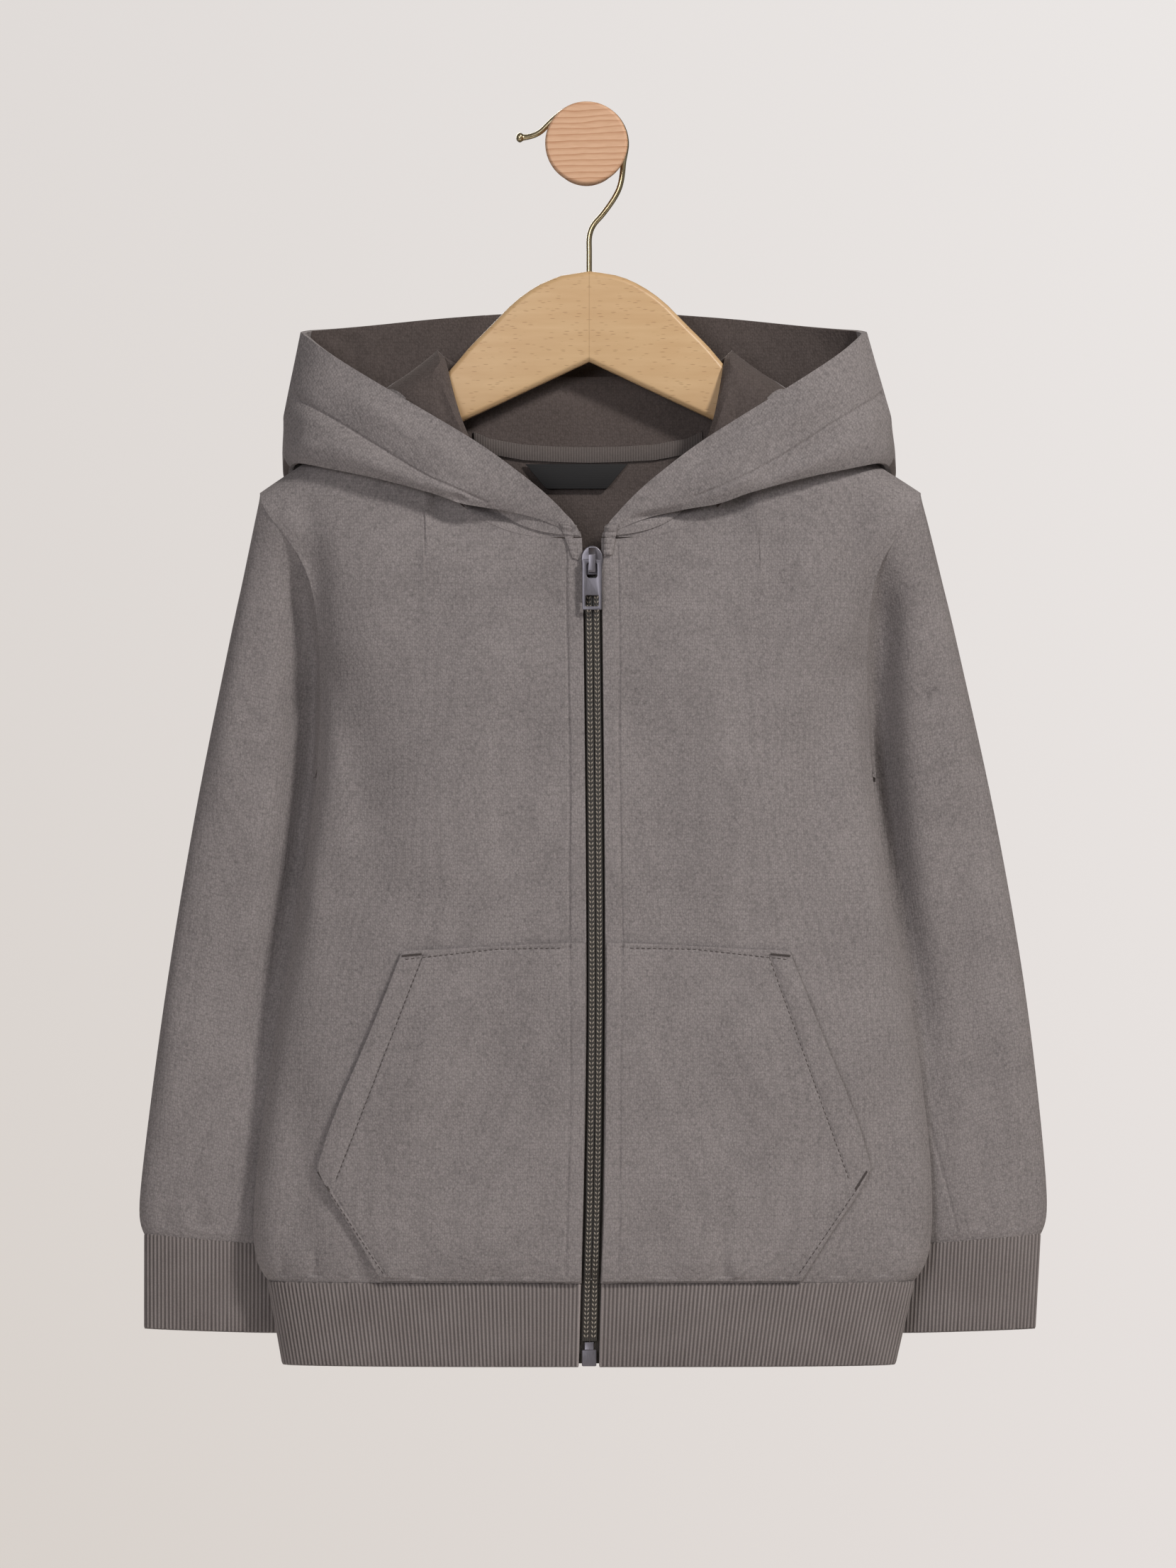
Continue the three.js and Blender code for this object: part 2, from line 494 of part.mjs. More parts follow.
/** A band of rib knit through rings of middle points: ribs outside, plain inside. */
function ribBand(rings, outward, closed) {
  const length = new THREE.CatmullRomCurve3(rings[0], closed, "centripetal").getLength();
  const ribs = Math.round(length / RIB_PITCH);
  const coarse = 8; // outer points to one inner point
  const columns = Math.round((2 * ribs) / coarse) * coarse + (closed ? 0 : 1);
  const mids = rings.map((ring) => evenly(ring, columns, closed));
  const vertices = [];
  const level = mids.map((ring, r) =>
    ring.map((p, i) => {
      const before = ring[closed ? (i + columns - 1) % columns : Math.max(0, i - 1)];
      const after = ring[closed ? (i + 1) % columns : Math.min(columns - 1, i + 1)];
      const normal = outward(new THREE.Vector3().subVectors(after, before));
      const raise = RIB_WALL / 2 + (i % 2 ? RIB_RISE : 0);
      const outer = vertices.push(p.clone().addScaledVector(normal, raise)) - 1;
      const inner = i % coarse ? -1 : vertices.push(p.clone().addScaledVector(normal, -RIB_WALL / 2)) - 1;
      return { outer, inner, r };
    }),
  );
  const triangles = [];
  const quad = (a, b, c, d) => triangles.push([a, b, c], [a, c, d]);
  const steps = closed ? columns : columns - 1;
  const at = (r, i) => level[r][i % columns];
  for (let r = 0; r < rings.length - 1; r++) {
    for (let i = 0; i < steps; i++) {
      quad(at(r, i).outer, at(r, i + 1).outer, at(r + 1, i + 1).outer, at(r + 1, i).outer);
    }
    for (let i = 0; i < steps; i += coarse) {
      quad(at(r, i).inner, at(r + 1, i).inner, at(r + 1, i + coarse).inner, at(r, i + coarse).inner);
    }
  }
  for (const [r, flip] of [[0, false], [rings.length - 1, true]]) {
    const add = (a, b, c) => triangles.push(flip ? [a, c, b] : [a, b, c]);
    for (let i = 0; i < steps; i += coarse) {
      const half = coarse / 2;
      for (let k = 0; k < coarse; k++) {
        const anchor = at(r, k < half ? i : i + coarse).inner;
        add(at(r, i + k).outer, anchor, at(r, i + k + 1).outer);
      }
      add(at(r, i).inner, at(r, i + coarse).inner, at(r, i + half).outer);
    }
  }
  if (!closed) {
    for (let r = 0; r < rings.length - 1; r++) {
      quad(at(r, 0).outer, at(r + 1, 0).outer, at(r + 1, 0).inner, at(r, 0).inner);
      quad(at(r, steps).outer, at(r, steps).inner, at(r + 1, steps).inner, at(r + 1, steps).outer);
    }
  }
  return closedGeometry(vertices, triangles);
}

/** One height of the hem rib, from the left front edge round the back to the right. */
function hemRing(z) {
  const steps = 14;
  const { half } = body(z);
  const line = [];
  const reach = (k) => Math.sin((Math.PI / 2) * (k / steps));
  const first = ZIP_HALF_GAP / half;
  for (let k = 0; k <= steps; k++) {
    const share = first + (1 - first) * reach(k);
    line.push([LEFT, share * half, "front"]);
  }
  for (let k = steps - 1; k >= 0; k--) line.push([LEFT, reach(k) * half, "back"]);
  for (let k = 1; k < steps; k++) line.push([RIGHT, reach(k) * half, "back"]);
  for (let k = steps; k >= 0; k--) {
    const share = first + (1 - first) * reach(k);
    line.push([RIGHT, share * half, "front"]);
  }
  return line.map(([side, d, face]) => place(side, d, panelDepth(d, z, face), z));
}

/** The hem rib, open at the zip. */
function hemRib() {
  const heights = [HEM, HEM_SEAM - SEAM_GAP - 0.4];
  const outward = (along) => new THREE.Vector3(-along.y, along.x, 0).normalize();
  return ribBand(heights.map(hemRing), outward, false);
}

/** A cuff, closed all round. */
function cuff(side) {
  const steps = 28;
  const rings = [1, 0].map((s) =>
    Array.from({ length: steps }, (_, i) => {
      const p = tubePoint(cuffSection(s), (2 * Math.PI * i) / steps);
      return place(side, p.d, p.h, p.z);
    }),
  );
  const outward = (along) => new THREE.Vector3(along.y, -along.x, 0).normalize().multiplyScalar(-side);
  return ribBand(rings, outward, true);
}

const hoodAt = reader(HOOD, "at");

/** The hood's profile at one place round the neck, as a list of middle points. */
function hoodProfile(side, at) {
  const row = hoodAt(at);
  const turn = THREE.MathUtils.degToRad(row.turn);
  const [outD, outH] = [Math.sin(turn), -Math.cos(turn)];
  const shifted = (d, h, z, by, lift) => new THREE.Vector3(d + by * outD, h + by * outH, z + lift);
  const neck = new THREE.Vector3(row.nd, row.nh, row.nz);
  const foldIn = shifted(row.kd, row.kh, row.kz, -row.foldK, -row.foldK);
  const foldTop = new THREE.Vector3(row.kd, row.kh, row.kz);
  const foldOut = shifted(row.kd, row.kh, row.kz, row.foldK, -row.foldK);
  const rollIn = shifted(row.rd, row.rh, row.rz, -row.foldR, row.foldR);
  const rollLow = new THREE.Vector3(row.rd, row.rh, row.rz);
  const rollOut = shifted(row.rd, row.rh, row.rz, row.foldR, row.foldR);
  const edge = new THREE.Vector3(row.ed, row.eh, row.ez);
  const start = neck.clone().addScaledVector(foldIn.clone().sub(neck).normalize(), NECK_SEAM_LEAD);
  const stretches = [[start, foldIn], [foldIn, foldTop, foldOut], [foldOut, rollIn], [rollIn, rollLow, rollOut], [rollOut, edge]];
  const knots = [start, foldIn, foldTop, foldOut, rollIn, rollLow, rollOut, edge];
  const curve = new THREE.CatmullRomCurve3(knots, false, "centripetal");
  const total = knots.length - 1;
  let knot = 0;
  const out = [];
  stretches.forEach((stretch, n) => {
    const spans = stretch.length - 1;
    const steps = HOOD_STEPS[n];
    for (let k = n === 0 ? 0 : 1; k <= steps; k++) {
      const p = curve.getPoint((knot + (spans * k) / steps) / total);
      out.push(place(side, p.x, p.y, p.z));
    }
    knot += spans;
  });
  return out;
}

const SIDE_STATIONS = [0, 0.035, 0.07, 0.105, 0.14, 0.175, 0.21, 0.25, 0.29, 0.36, 0.43, 0.465, 0.5, 0.535, 0.575, 0.66, 0.76];

/** A side panel of the hood as a grid, from the zip to the seam behind. */
function hoodSideGrid(side) {
  const last = GUSSET_AT - 0.003;
  return [...SIDE_STATIONS, last].map((at) => hoodProfile(side, at));
}

/** The middle panel of the hood as a grid. */
function hoodMiddleGrid() {
  const stations = [GUSSET_AT + 0.003, 0.91, 0.97];
  const left = stations.map((at) => hoodProfile(LEFT, at));
  const right = [...stations].reverse().map((at) => hoodProfile(RIGHT, at));
  return [...left, ...right];
}

const HOOD_ROWS = HOOD_STEPS.reduce((sum, steps) => sum + steps, 1);
const BAND_ROWS = 4; // rows of the hood's turned hem, below its edge

/** A panel of the hood's shell. Its turned hem is thicker, on the outside. */
function hoodPanel(grid, outsideIsFirst) {
  const thick = (_, j) => CLOTH / 2 + (j >= HOOD_ROWS - BAND_ROWS ? BAND - CLOTH : 0);
  const plain = () => CLOTH / 2;
  return wall(grid, outsideIsFirst ? { outer: thick, inner: plain } : { outer: plain, inner: thick });
}

/** A point on the outside of a front panel and the way it faces. */
function frontFace(side, d, z) {
  const step = 0.5;
  const at = (dd, zz) => place(side, dd, panelDepth(dd, zz, "front"), zz);
  const p = at(d, z);
  const along = at(d + step, z).sub(at(d - step, z));
  const up = at(d, z + step).sub(at(d, z - step));
  const normal = new THREE.Vector3().crossVectors(along, up).normalize();
  if (normal.y > 0) normal.negate();
  return { p, normal };
}

/** A pocket: the front panel's points, moved out, and lifted a little along its mouth. */
function pocket(side) {
  const across = [0, 0.01, 0.3, 0.55, 0.75, 0.9, 1];
  const reads = reader(POCKET, "v");
  const up = [0, 0.03, 0.08, 0.16, 0.24, 0.32, 0.44, 0.56, 0.7, 0.85, 1];
  const inner = ZIP_HALF_GAP + 0.2;
  const stripEdge = 15;
  const grid = gridOf(across.length, up.length, (i, j) => {
    const { outD, outZ, inZ, lift } = reads(up[j]);
    const u = across[i];
    const d = i === 0 ? inner : THREE.MathUtils.lerp(stripEdge, outD, u);
    const z = THREE.MathUtils.lerp(inZ, outZ, u);
    const { p, normal } = frontFace(side, d, z);
    const strip = STRIP_RISE * (1 - THREE.MathUtils.smoothstep(d, 16, 24));
    const clear = CLOTH + SEAM_GAP + strip + lift * Math.pow(u, 3);
    return p.addScaledVector(normal, clear);
  });
  return wall(grid);
}

const STRIP_ROWS = [-655, -650, -640, -620, -560, -500, -440, -380, -320, -270];

/** A strip that follows the zip between two heights, from its section in distance and depth. */
function zipStrip(side, from, to, near, far) {
  const heights = [to, ...STRIP_ROWS.filter((z) => z > to + 1 && z < from - 1), from];
  const corners = [[near.d, near.h], [far.d, near.h], [far.d, far.h], [near.d, far.h]];
  const vertices = heights.flatMap((z) => corners.map(([d, h]) => place(side, d, body(z).front + h, z)));
  const triangles = [];
  const quad = (a, b, c, d) => triangles.push([a, b, c], [a, c, d]);
  for (let i = 0; i < heights.length - 1; i++) {
    const a = 4 * i;
    for (let k = 0; k < 4; k++) quad(a + k, a + ((k + 1) % 4), a + 4 + ((k + 1) % 4), a + 4 + k);
  }
  quad(3, 2, 1, 0);
  const end = 4 * (heights.length - 1);
  quad(end, end + 1, end + 2, end + 3);
  return closedGeometry(vertices, triangles);
}

/** A closed geometry as a solid for cutting and joining. */
function solid(geometry) {
  const plain = geometry.clone();
  for (const name of Object.keys(plain.attributes)) if (name !== "position") plain.deleteAttribute(name);
  const merged = mergeVertices(plain, 1e-3);
  return new wasm.Manifold(
    new wasm.Mesh({
      numProp: 3,
      vertProperties: merged.attributes.position.array,
      triVerts: new Uint32Array(merged.index.array),
    }),
  );
}

/** The geometry of a solid. */
function geometryOf(made) {
  const mesh = made.getMesh();
  const geometry = new THREE.BufferGeometry();
  geometry.setAttribute("position", new THREE.BufferAttribute(new Float32Array(mesh.vertProperties), 3));
  geometry.setIndex(new THREE.BufferAttribute(new Uint32Array(mesh.triVerts), 1));
  geometry.computeVertexNormals();
  return geometry;
}

/** An outline in x and z, extruded along y from one depth to another, with softened edges. */
function plate(shape, fromY, toY, bevel, curveSegments = 8) {
  const geometry = new THREE.ExtrudeGeometry(shape, {
    depth: toY - fromY - 2 * bevel,
    bevelEnabled: bevel > 0,
    bevelThickness: bevel,
    bevelSize: bevel,
    bevelOffset: -bevel,
    bevelSegments: 1,
    curveSegments,
  });
  geometry.rotateX(Math.PI / 2);
  geometry.translate(0, toY - bevel, 0);
  return geometry;
}

/** A rounded rectangle about a point. */
function roundedRectangle(x, z, width, height, radius) {
  const shape = new THREE.Shape();
  const [l, r, b, t] = [x - width / 2, x + width / 2, z - height / 2, z + height / 2];
  shape.moveTo(l + radius, b);
  shape.lineTo(r - radius, b);
  shape.absarc(r - radius, b + radius, radius, -Math.PI / 2, 0, false);
  shape.lineTo(r, t - radius);
  shape.absarc(r - radius, t - radius, radius, 0, Math.PI / 2, false);
  shape.lineTo(l + radius, t);
  shape.absarc(l + radius, t - radius, radius, Math.PI / 2, Math.PI, false);
  shape.lineTo(l, b + radius);
  shape.absarc(l + radius, b + radius, radius, Math.PI, 1.5 * Math.PI, false);
  return shape;
}

const YOKE_X = 1.6; // middle of the hanger
const YOKE_TOP = -73.5;

/** The wooden yoke of the hanger, bored for its hook. */
function yoke() {
  const shape = new THREE.Shape();
  const right = [
    [16, -76], [29, -81.4], [42.3, -90.5], [55.3, -103.5], [68.2, -116.4], [76, -125.6], [84, -134.6],
    [92, -143], [100, -148.2], [111, -154.4], [130, -166.4], [147, -178.4],
  ];
  const low = [[100, -172.8], [0, -125.6]];
  const tip = { d: 151.5, z: -188.7, radius: 6.9, from: 0.96, to: -2.04 };
  const top = new THREE.Vector2(YOKE_X, YOKE_TOP);
  shape.moveTo(top.x, top.y);
  shape.splineThru(right.map(([d, z]) => new THREE.Vector2(YOKE_X + d, z)));
  shape.absarc(YOKE_X + tip.d, tip.z, tip.radius, tip.from, tip.to, true);
  for (const [d, z] of low) shape.lineTo(YOKE_X + d, z);
  shape.lineTo(YOKE_X - low[0][0], low[0][1]);
  shape.absarc(YOKE_X - tip.d, tip.z, tip.radius, Math.PI - tip.to, Math.PI - tip.from, true);
  shape.splineThru([...right].reverse().map(([d, z]) => new THREE.Vector2(YOKE_X - d, z)));
  const board = plate(shape, -YOKE_DEPTH / 2, YOKE_DEPTH / 2, 2.2, 2);
  const bore = new THREE.CylinderGeometry(WIRE / 2 + SEAM_GAP, WIRE / 2 + SEAM_GAP, 24, 16);
  bore.rotateX(Math.PI / 2);
  bore.translate(YOKE_X, 0, YOKE_TOP - 8);
  return geometryOf(solid(board).subtract(solid(bore)));
}

/** The wire hook, from its bore in the yoke over the peg to its ball end. */
function hook() {
  const up = (x, z) => new THREE.Vector3(x, 0, z);
  const points = [up(YOKE_X, YOKE_TOP - 19), up(YOKE_X, -60), up(YOKE_X, -53), up(4, -46.5), up(9, -41), up(19, -25.5)];
  const [from, to, steps] = [-20, 130, 12];
  for (let i = 0; i <= steps; i++) {
    const a = THREE.MathUtils.degToRad(THREE.MathUtils.lerp(from, to, i / steps));
    points.push(up(CROOK_RADIUS * Math.cos(a), CROOK_RADIUS * Math.sin(a)));
  }
  points.push(up(-21, 12.5), up(-27, 6.5), up(-33, 4.2), up(-37.5, 3.8));
  const path = new THREE.CatmullRomCurve3(points, false, "centripetal");
  const section = new THREE.Shape();
  section.absarc(0, 0, WIRE / 2, 0, 2 * Math.PI, false);
  const wire = new THREE.ExtrudeGeometry(section, { steps: 44, extrudePath: path, curveSegments: 4 });
  const ball = new THREE.SphereGeometry(3.1, 12, 6);
  ball.scale(0.75, 1, 1);
  ball.translate(-38.4, 0, 3.8);
  return geometryOf(solid(wire).add(solid(ball)));
}

/** The round wooden wall peg, with a neck that the hook lies on. */
function peg() {
  const soft = 1.2;
  const head = WIRE / 2 + SEAM_GAP;
  const front = head + PEG_HEAD_DEPTH;
  const profile = [
    [0, -HANG_DEPTH], [PEG_NECK_RADIUS, -HANG_DEPTH], [PEG_NECK_RADIUS, head], [PEG_HEAD_RADIUS - soft, head],
    [PEG_HEAD_RADIUS, head + soft], [PEG_HEAD_RADIUS, front - soft], [PEG_HEAD_RADIUS - soft, front], [0, front],
  ];
  const geometry = new THREE.LatheGeometry(profile.map(([r, y]) => new THREE.Vector2(r, y)), 36);
  geometry.rotateX(Math.PI);
  return geometry;
}

const SLIDER_X = zipLine(TAB_TOP).x;
const ZIP_FRONT = body(TAB_TOP).front; // depth of the front panel's middle at the slider
const PLATE_BACK = ZIP_FRONT - CLOTH / 2 - STRIP_RISE - SEAM_GAP; // back of the slider's top plate
const PLATE_FRONT = PLATE_BACK - 2.2;
const BRIDGE_GAP = 3.2; // room for the pull tab's bar under the bridge
const BRIDGE = 1.5;
const BRIDGE_WIDTH = 3.8;
const PIVOT = { h: PLATE_FRONT - BRIDGE_GAP / 2, z: TAB_TOP - 1.1 };

/** The zip slider: its shield-shaped top plate and the bridge that carries the pull tab. */
function slider() {
  const half = SLIDER_WIDTH / 2;
  const low = SLIDER_TOP - SLIDER_LENGTH;
  const shoulder = low + 9; // where the shield's rounded top begins
  const shield = new THREE.Shape();
  shield.moveTo(SLIDER_X - half + 1.2, low);
  shield.lineTo(SLIDER_X + half - 1.2, low);
  shield.lineTo(SLIDER_X + half, shoulder);
  shield.absellipse(SLIDER_X, shoulder, half, SLIDER_TOP - shoulder, Math.PI / 8, Math.PI, false);
  const top = solid(plate(shield, PLATE_FRONT, PLATE_BACK, 0.5, 4));
  const side = new THREE.Shape();
  const reach = BRIDGE_GAP + BRIDGE;
  const [back, foot, head] = [-0.4, -248, -233.6];
  side.moveTo(back, foot);
  side.lineTo(reach - 0.8, foot + 0.3);
  side.lineTo(reach, foot + 1.5);
  side.lineTo(reach, head - 4);
  side.lineTo(1, head);
  side.lineTo(back, head);
  side.lineTo(back, head - 2.4);
  side.lineTo(0.6, head - 3.2);
  side.lineTo(BRIDGE_GAP, head - 5);
  side.lineTo(BRIDGE_GAP, foot + 1.9);
  side.lineTo(back, foot + 1.9);
  const bridge = new THREE.ExtrudeGeometry(side, { depth: BRIDGE_WIDTH, bevelEnabled: false });
  bridge.rotateX(Math.PI / 2);
  bridge.rotateZ(-Math.PI / 2);
  bridge.translate(SLIDER_X + BRIDGE_WIDTH / 2, PLATE_FRONT, 0);
  return geometryOf(top.add(solid(bridge)));
}

/** The pull tab, with the slot that its bar is left beside and the window near its foot. */
function pullTab() {
  const middle = TAB_TOP - TAB_LENGTH / 2;
  const shape = roundedRectangle(SLIDER_X, middle, TAB_WIDTH, TAB_LENGTH, 0.9);
  shape.holes.push(roundedRectangle(SLIDER_X, TAB_TOP - 6.4, 5.8, 8.4, 1.2));
  shape.holes.push(roundedRectangle(SLIDER_X, TAB_TOP - 23.8, 7.4, 6.2, 0.6));
  return plate(shape, PIVOT.h - TAB_PLATE / 2, PIVOT.h + TAB_PLATE / 2, 0.25, 2);
}

/** The box at the foot of the zip. */
function boxStop() {
  const x = zipLine(HEM + 5).x;
  const middle = body(HEM + 5).front;
  const shape = roundedRectangle(x, HEM + 0.6 + BOX_STOP.height / 2, BOX_STOP.width, BOX_STOP.height, 0.8);
  const neck = roundedRectangle(x, HEM + 12, BOX_STOP.width - 3, 5, 0.6);
  const depths = [middle - BOX_STOP.depth + 1.6, middle + 0.6];
  const box = solid(plate(shape, ...depths, 0.4, 2));
  return geometryOf(box.add(solid(plate(neck, depths[0] + 0.8, depths[1], 0.3, 2))));
}

/** The narrow jersey tape that covers the back neck seam inside. */
function neckTape() {
  const columns = [...BACK_COLUMNS.slice(0, 5)];
  const last = columns.length - 1;
  const height = [-4.5, 0, 4.5];
  const inwards = CLOTH / 2 + 0.9;
  const grid = gridOf(2 * last + 1, height.length, (i, j) => {
    const { d, h, z } = columns[Math.abs(i - last)];
    return place(i < last ? LEFT : RIGHT, d, h - inwards - (j === 1 ? 0.1 : 0), z + height[j]);
  });
  const half = () => 0.5;
  return wall(grid, { outer: half, inner: half });
}

/** The neck label, left blank. */
function neckLabel() {
  const [x, top, low] = [-5.8, -184.2, -198.5];
  const shape = new THREE.Shape();
  shape.moveTo(x - 29.5, top);
  shape.lineTo(x - 18.5, low + 1);
  shape.quadraticCurveTo(x - 17.5, low, x - 16, low);
  shape.lineTo(x + 16, low);
  shape.quadraticCurveTo(x + 17.5, low, x + 18.5, low + 1);
  shape.lineTo(x + 29.5, top);
  const depth = 10;
  return plate(shape, depth - 1, depth, 0, 2);
}

/** Adds a named mesh to a group. */
function add(group, name, geometry, material) {
  const mesh = new THREE.Mesh(geometry, material);
  mesh.name = name;
  group.add(mesh);
}

const hoodie = new THREE.Group();
const hung = new THREE.Group(); // everything in the plane of the hanger
hung.position.y = -HANG_DEPTH;
hoodie.add(hung);

add(hung, "back", backPanel(), COLOUR.fleece);
for (const [side, name] of [[LEFT, "left"], [RIGHT, "right"]]) {
  const grid = hoodSideGrid(side);
  add(hung, `front_${name}`, frontPanel(side), COLOUR.fleece);
  add(hung, `sleeve_${name}`, sleeve(side), COLOUR.fleece);
  add(hung, `cuff_${name}`, cuff(side), COLOUR.rib);
  add(hung, `pocket_${name}`, pocket(side), COLOUR.fleece);
  add(hung, `hood_side_${name}`, hoodPanel(grid, side === LEFT), COLOUR.fleece);
  add(hung, `zip_tape_${name}`, zipStrip(side, -236, HEM + 2, ...TAPE_SECTION), COLOUR.tape);
  add(hung, `zip_chain_${name}`, zipStrip(side, -250, HEM + 15, ...CHAIN_SECTION), COLOUR.coil);
}
const middleGrid = hoodMiddleGrid();
add(hung, "hood_middle", hoodPanel(middleGrid, true), COLOUR.fleece);
add(hung, "hem_rib", hemRib(), COLOUR.rib);
add(hung, "neck_tape", neckTape(), COLOUR.lining);
add(hung, "neck_label", neckLabel(), COLOUR.label);
add(hung, "zip_box", boxStop(), COLOUR.gunmetal);
add(hung, "zip_slider", slider(), COLOUR.gunmetal);
add(hung, "pull_tab", pullTab(), COLOUR.gunmetal);
add(hung, "hanger_yoke", yoke(), COLOUR.beech);
add(hung, "hanger_hook", hook(), COLOUR.brass);
add(hung, "wall_peg", peg(), COLOUR.larch);

export default hoodie;
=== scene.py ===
"""A child's zip-up hoodie on a wooden hanger and a wall peg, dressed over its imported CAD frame."""

from __future__ import annotations

import logging
import math
from dataclasses import dataclass, field
from enum import Enum

import bmesh
import bpy
import numpy as np
from mathutils import Matrix, Vector
from mathutils.bvhtree import BVHTree


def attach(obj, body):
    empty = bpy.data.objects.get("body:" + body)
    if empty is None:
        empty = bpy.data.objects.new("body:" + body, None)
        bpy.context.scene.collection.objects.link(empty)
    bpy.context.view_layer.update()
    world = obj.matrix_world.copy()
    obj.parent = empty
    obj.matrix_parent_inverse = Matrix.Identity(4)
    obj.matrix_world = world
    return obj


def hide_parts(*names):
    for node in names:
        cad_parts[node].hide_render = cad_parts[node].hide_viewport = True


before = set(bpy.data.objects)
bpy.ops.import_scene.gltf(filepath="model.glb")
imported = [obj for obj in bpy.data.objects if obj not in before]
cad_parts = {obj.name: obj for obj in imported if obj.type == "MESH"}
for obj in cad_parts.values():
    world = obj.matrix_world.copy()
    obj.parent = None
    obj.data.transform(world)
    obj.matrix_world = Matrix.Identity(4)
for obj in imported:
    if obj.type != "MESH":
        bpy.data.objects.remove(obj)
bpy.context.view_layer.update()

log = logging.getLogger("hoodie")
MM = 0.001
GARMENT = "garment"
TAB = "tab"

Point = tuple[float, float]


class Face(Enum):
    """The side of the garment from which a line on it is seen."""

    FRONT = -1
    BACK = 1


class Side(Enum):
    """Left and right as they stand in the photograph."""

    LEFT = -1
    RIGHT = 1


def linear(colour: str) -> tuple[float, float, float, float]:
    """Turns a colour into the numbers that a shader takes.

    Args:
        colour: An sRGB colour such as "#827a77".

    Returns:
        Linear red, green and blue, and an alpha of 1.
    """
    parts = [int(colour[i : i + 2], 16) / 255 for i in (1, 3, 5)]
    curved = [c / 12.92 if c <= 0.04045 else ((c + 0.055) / 1.055) ** 2.4 for c in parts]
    return curved[0], curved[1], curved[2], 1.0


def add(
    tree: bpy.types.NodeTree,
    kind: str,
    settings: dict | None = None,
    inputs: dict | None = None,
) -> bpy.types.Node:
    """Adds a node with its settings and links.

    Args:
        tree: The tree that it goes into.
        kind: The node's type.
        settings: Its properties, by name.
        inputs: Its inputs by name or number. A socket is linked, and any other value is set.

    Returns:
        The node.
    """
    made = tree.nodes.new(kind)
    for name, value in (settings or {}).items():
        setattr(made, name, value)
    for name, value in (inputs or {}).items():
        if isinstance(value, bpy.types.NodeSocket):
            tree.links.new(value, made.inputs[name])
        else:
            made.inputs[name].default_value = value
    return made


MULTIPLY = {"operation": "MULTIPLY"}
MULTIPLY_ADD = {"operation": "MULTIPLY_ADD"}
COLOUR = {"data_type": "RGBA"}


@dataclass(frozen=True)
class Finish:
    """A material for one surface of the object.

    name is the material's name, slot the record's material slot, which is not used, and roughness the
    shader's own.
    """

    name: str
    slot: str
    roughness: float

    def material(self) -> bpy.types.Material:
        """Makes the material, or gives the one that was made before.

        Returns:
            The material.
        """
        known = bpy.data.materials.get(self.name)
        if known:
            return known
        made = bpy.data.materials.new(self.name)
        made.use_nodes = True
        tree = made.node_tree
        shader = tree.nodes["Principled BSDF"]
        shader.inputs["Roughness"].default_value = self.roughness
        place = add(tree, "ShaderNodeTexCoord").outputs["Object"]
        self.dress(tree, shader, place)
        return made

    def dress(self, tree: bpy.types.NodeTree, shader: bpy.types.Node, place: bpy.types.NodeSocket) -> None:
        """Links colour and relief. Each finish has its own.

        Args:
            tree: The material's nodes.
            shader: Its Principled BSDF.
            place: Object coordinates.
        """
        raise NotImplementedError

    def surface(
        self,
        tree: bpy.types.NodeTree,
        shader: bpy.types.Node,
        colour: bpy.types.NodeSocket,
        height: bpy.types.NodeSocket,
        depth: float,
        strength: float,
    ) -> None:
        """Links the finished colour and relief to the shader.

        Args:
            tree: The material's nodes.
            shader: Its Principled BSDF.
            colour: The colour.
            height: The relief, from 0 to 1.
            depth: The height of a full step, in millimetres.
            strength: How much of the relief shows.
        """
        relief = {"Height": height, "Distance": depth * MM, "Strength": strength}
        bump = add(tree, "ShaderNodeBump", None, relief)
        tree.links.new(colour, shader.inputs["Base Color"])
        tree.links.new(bump.outputs[0], shader.inputs["Normal"])


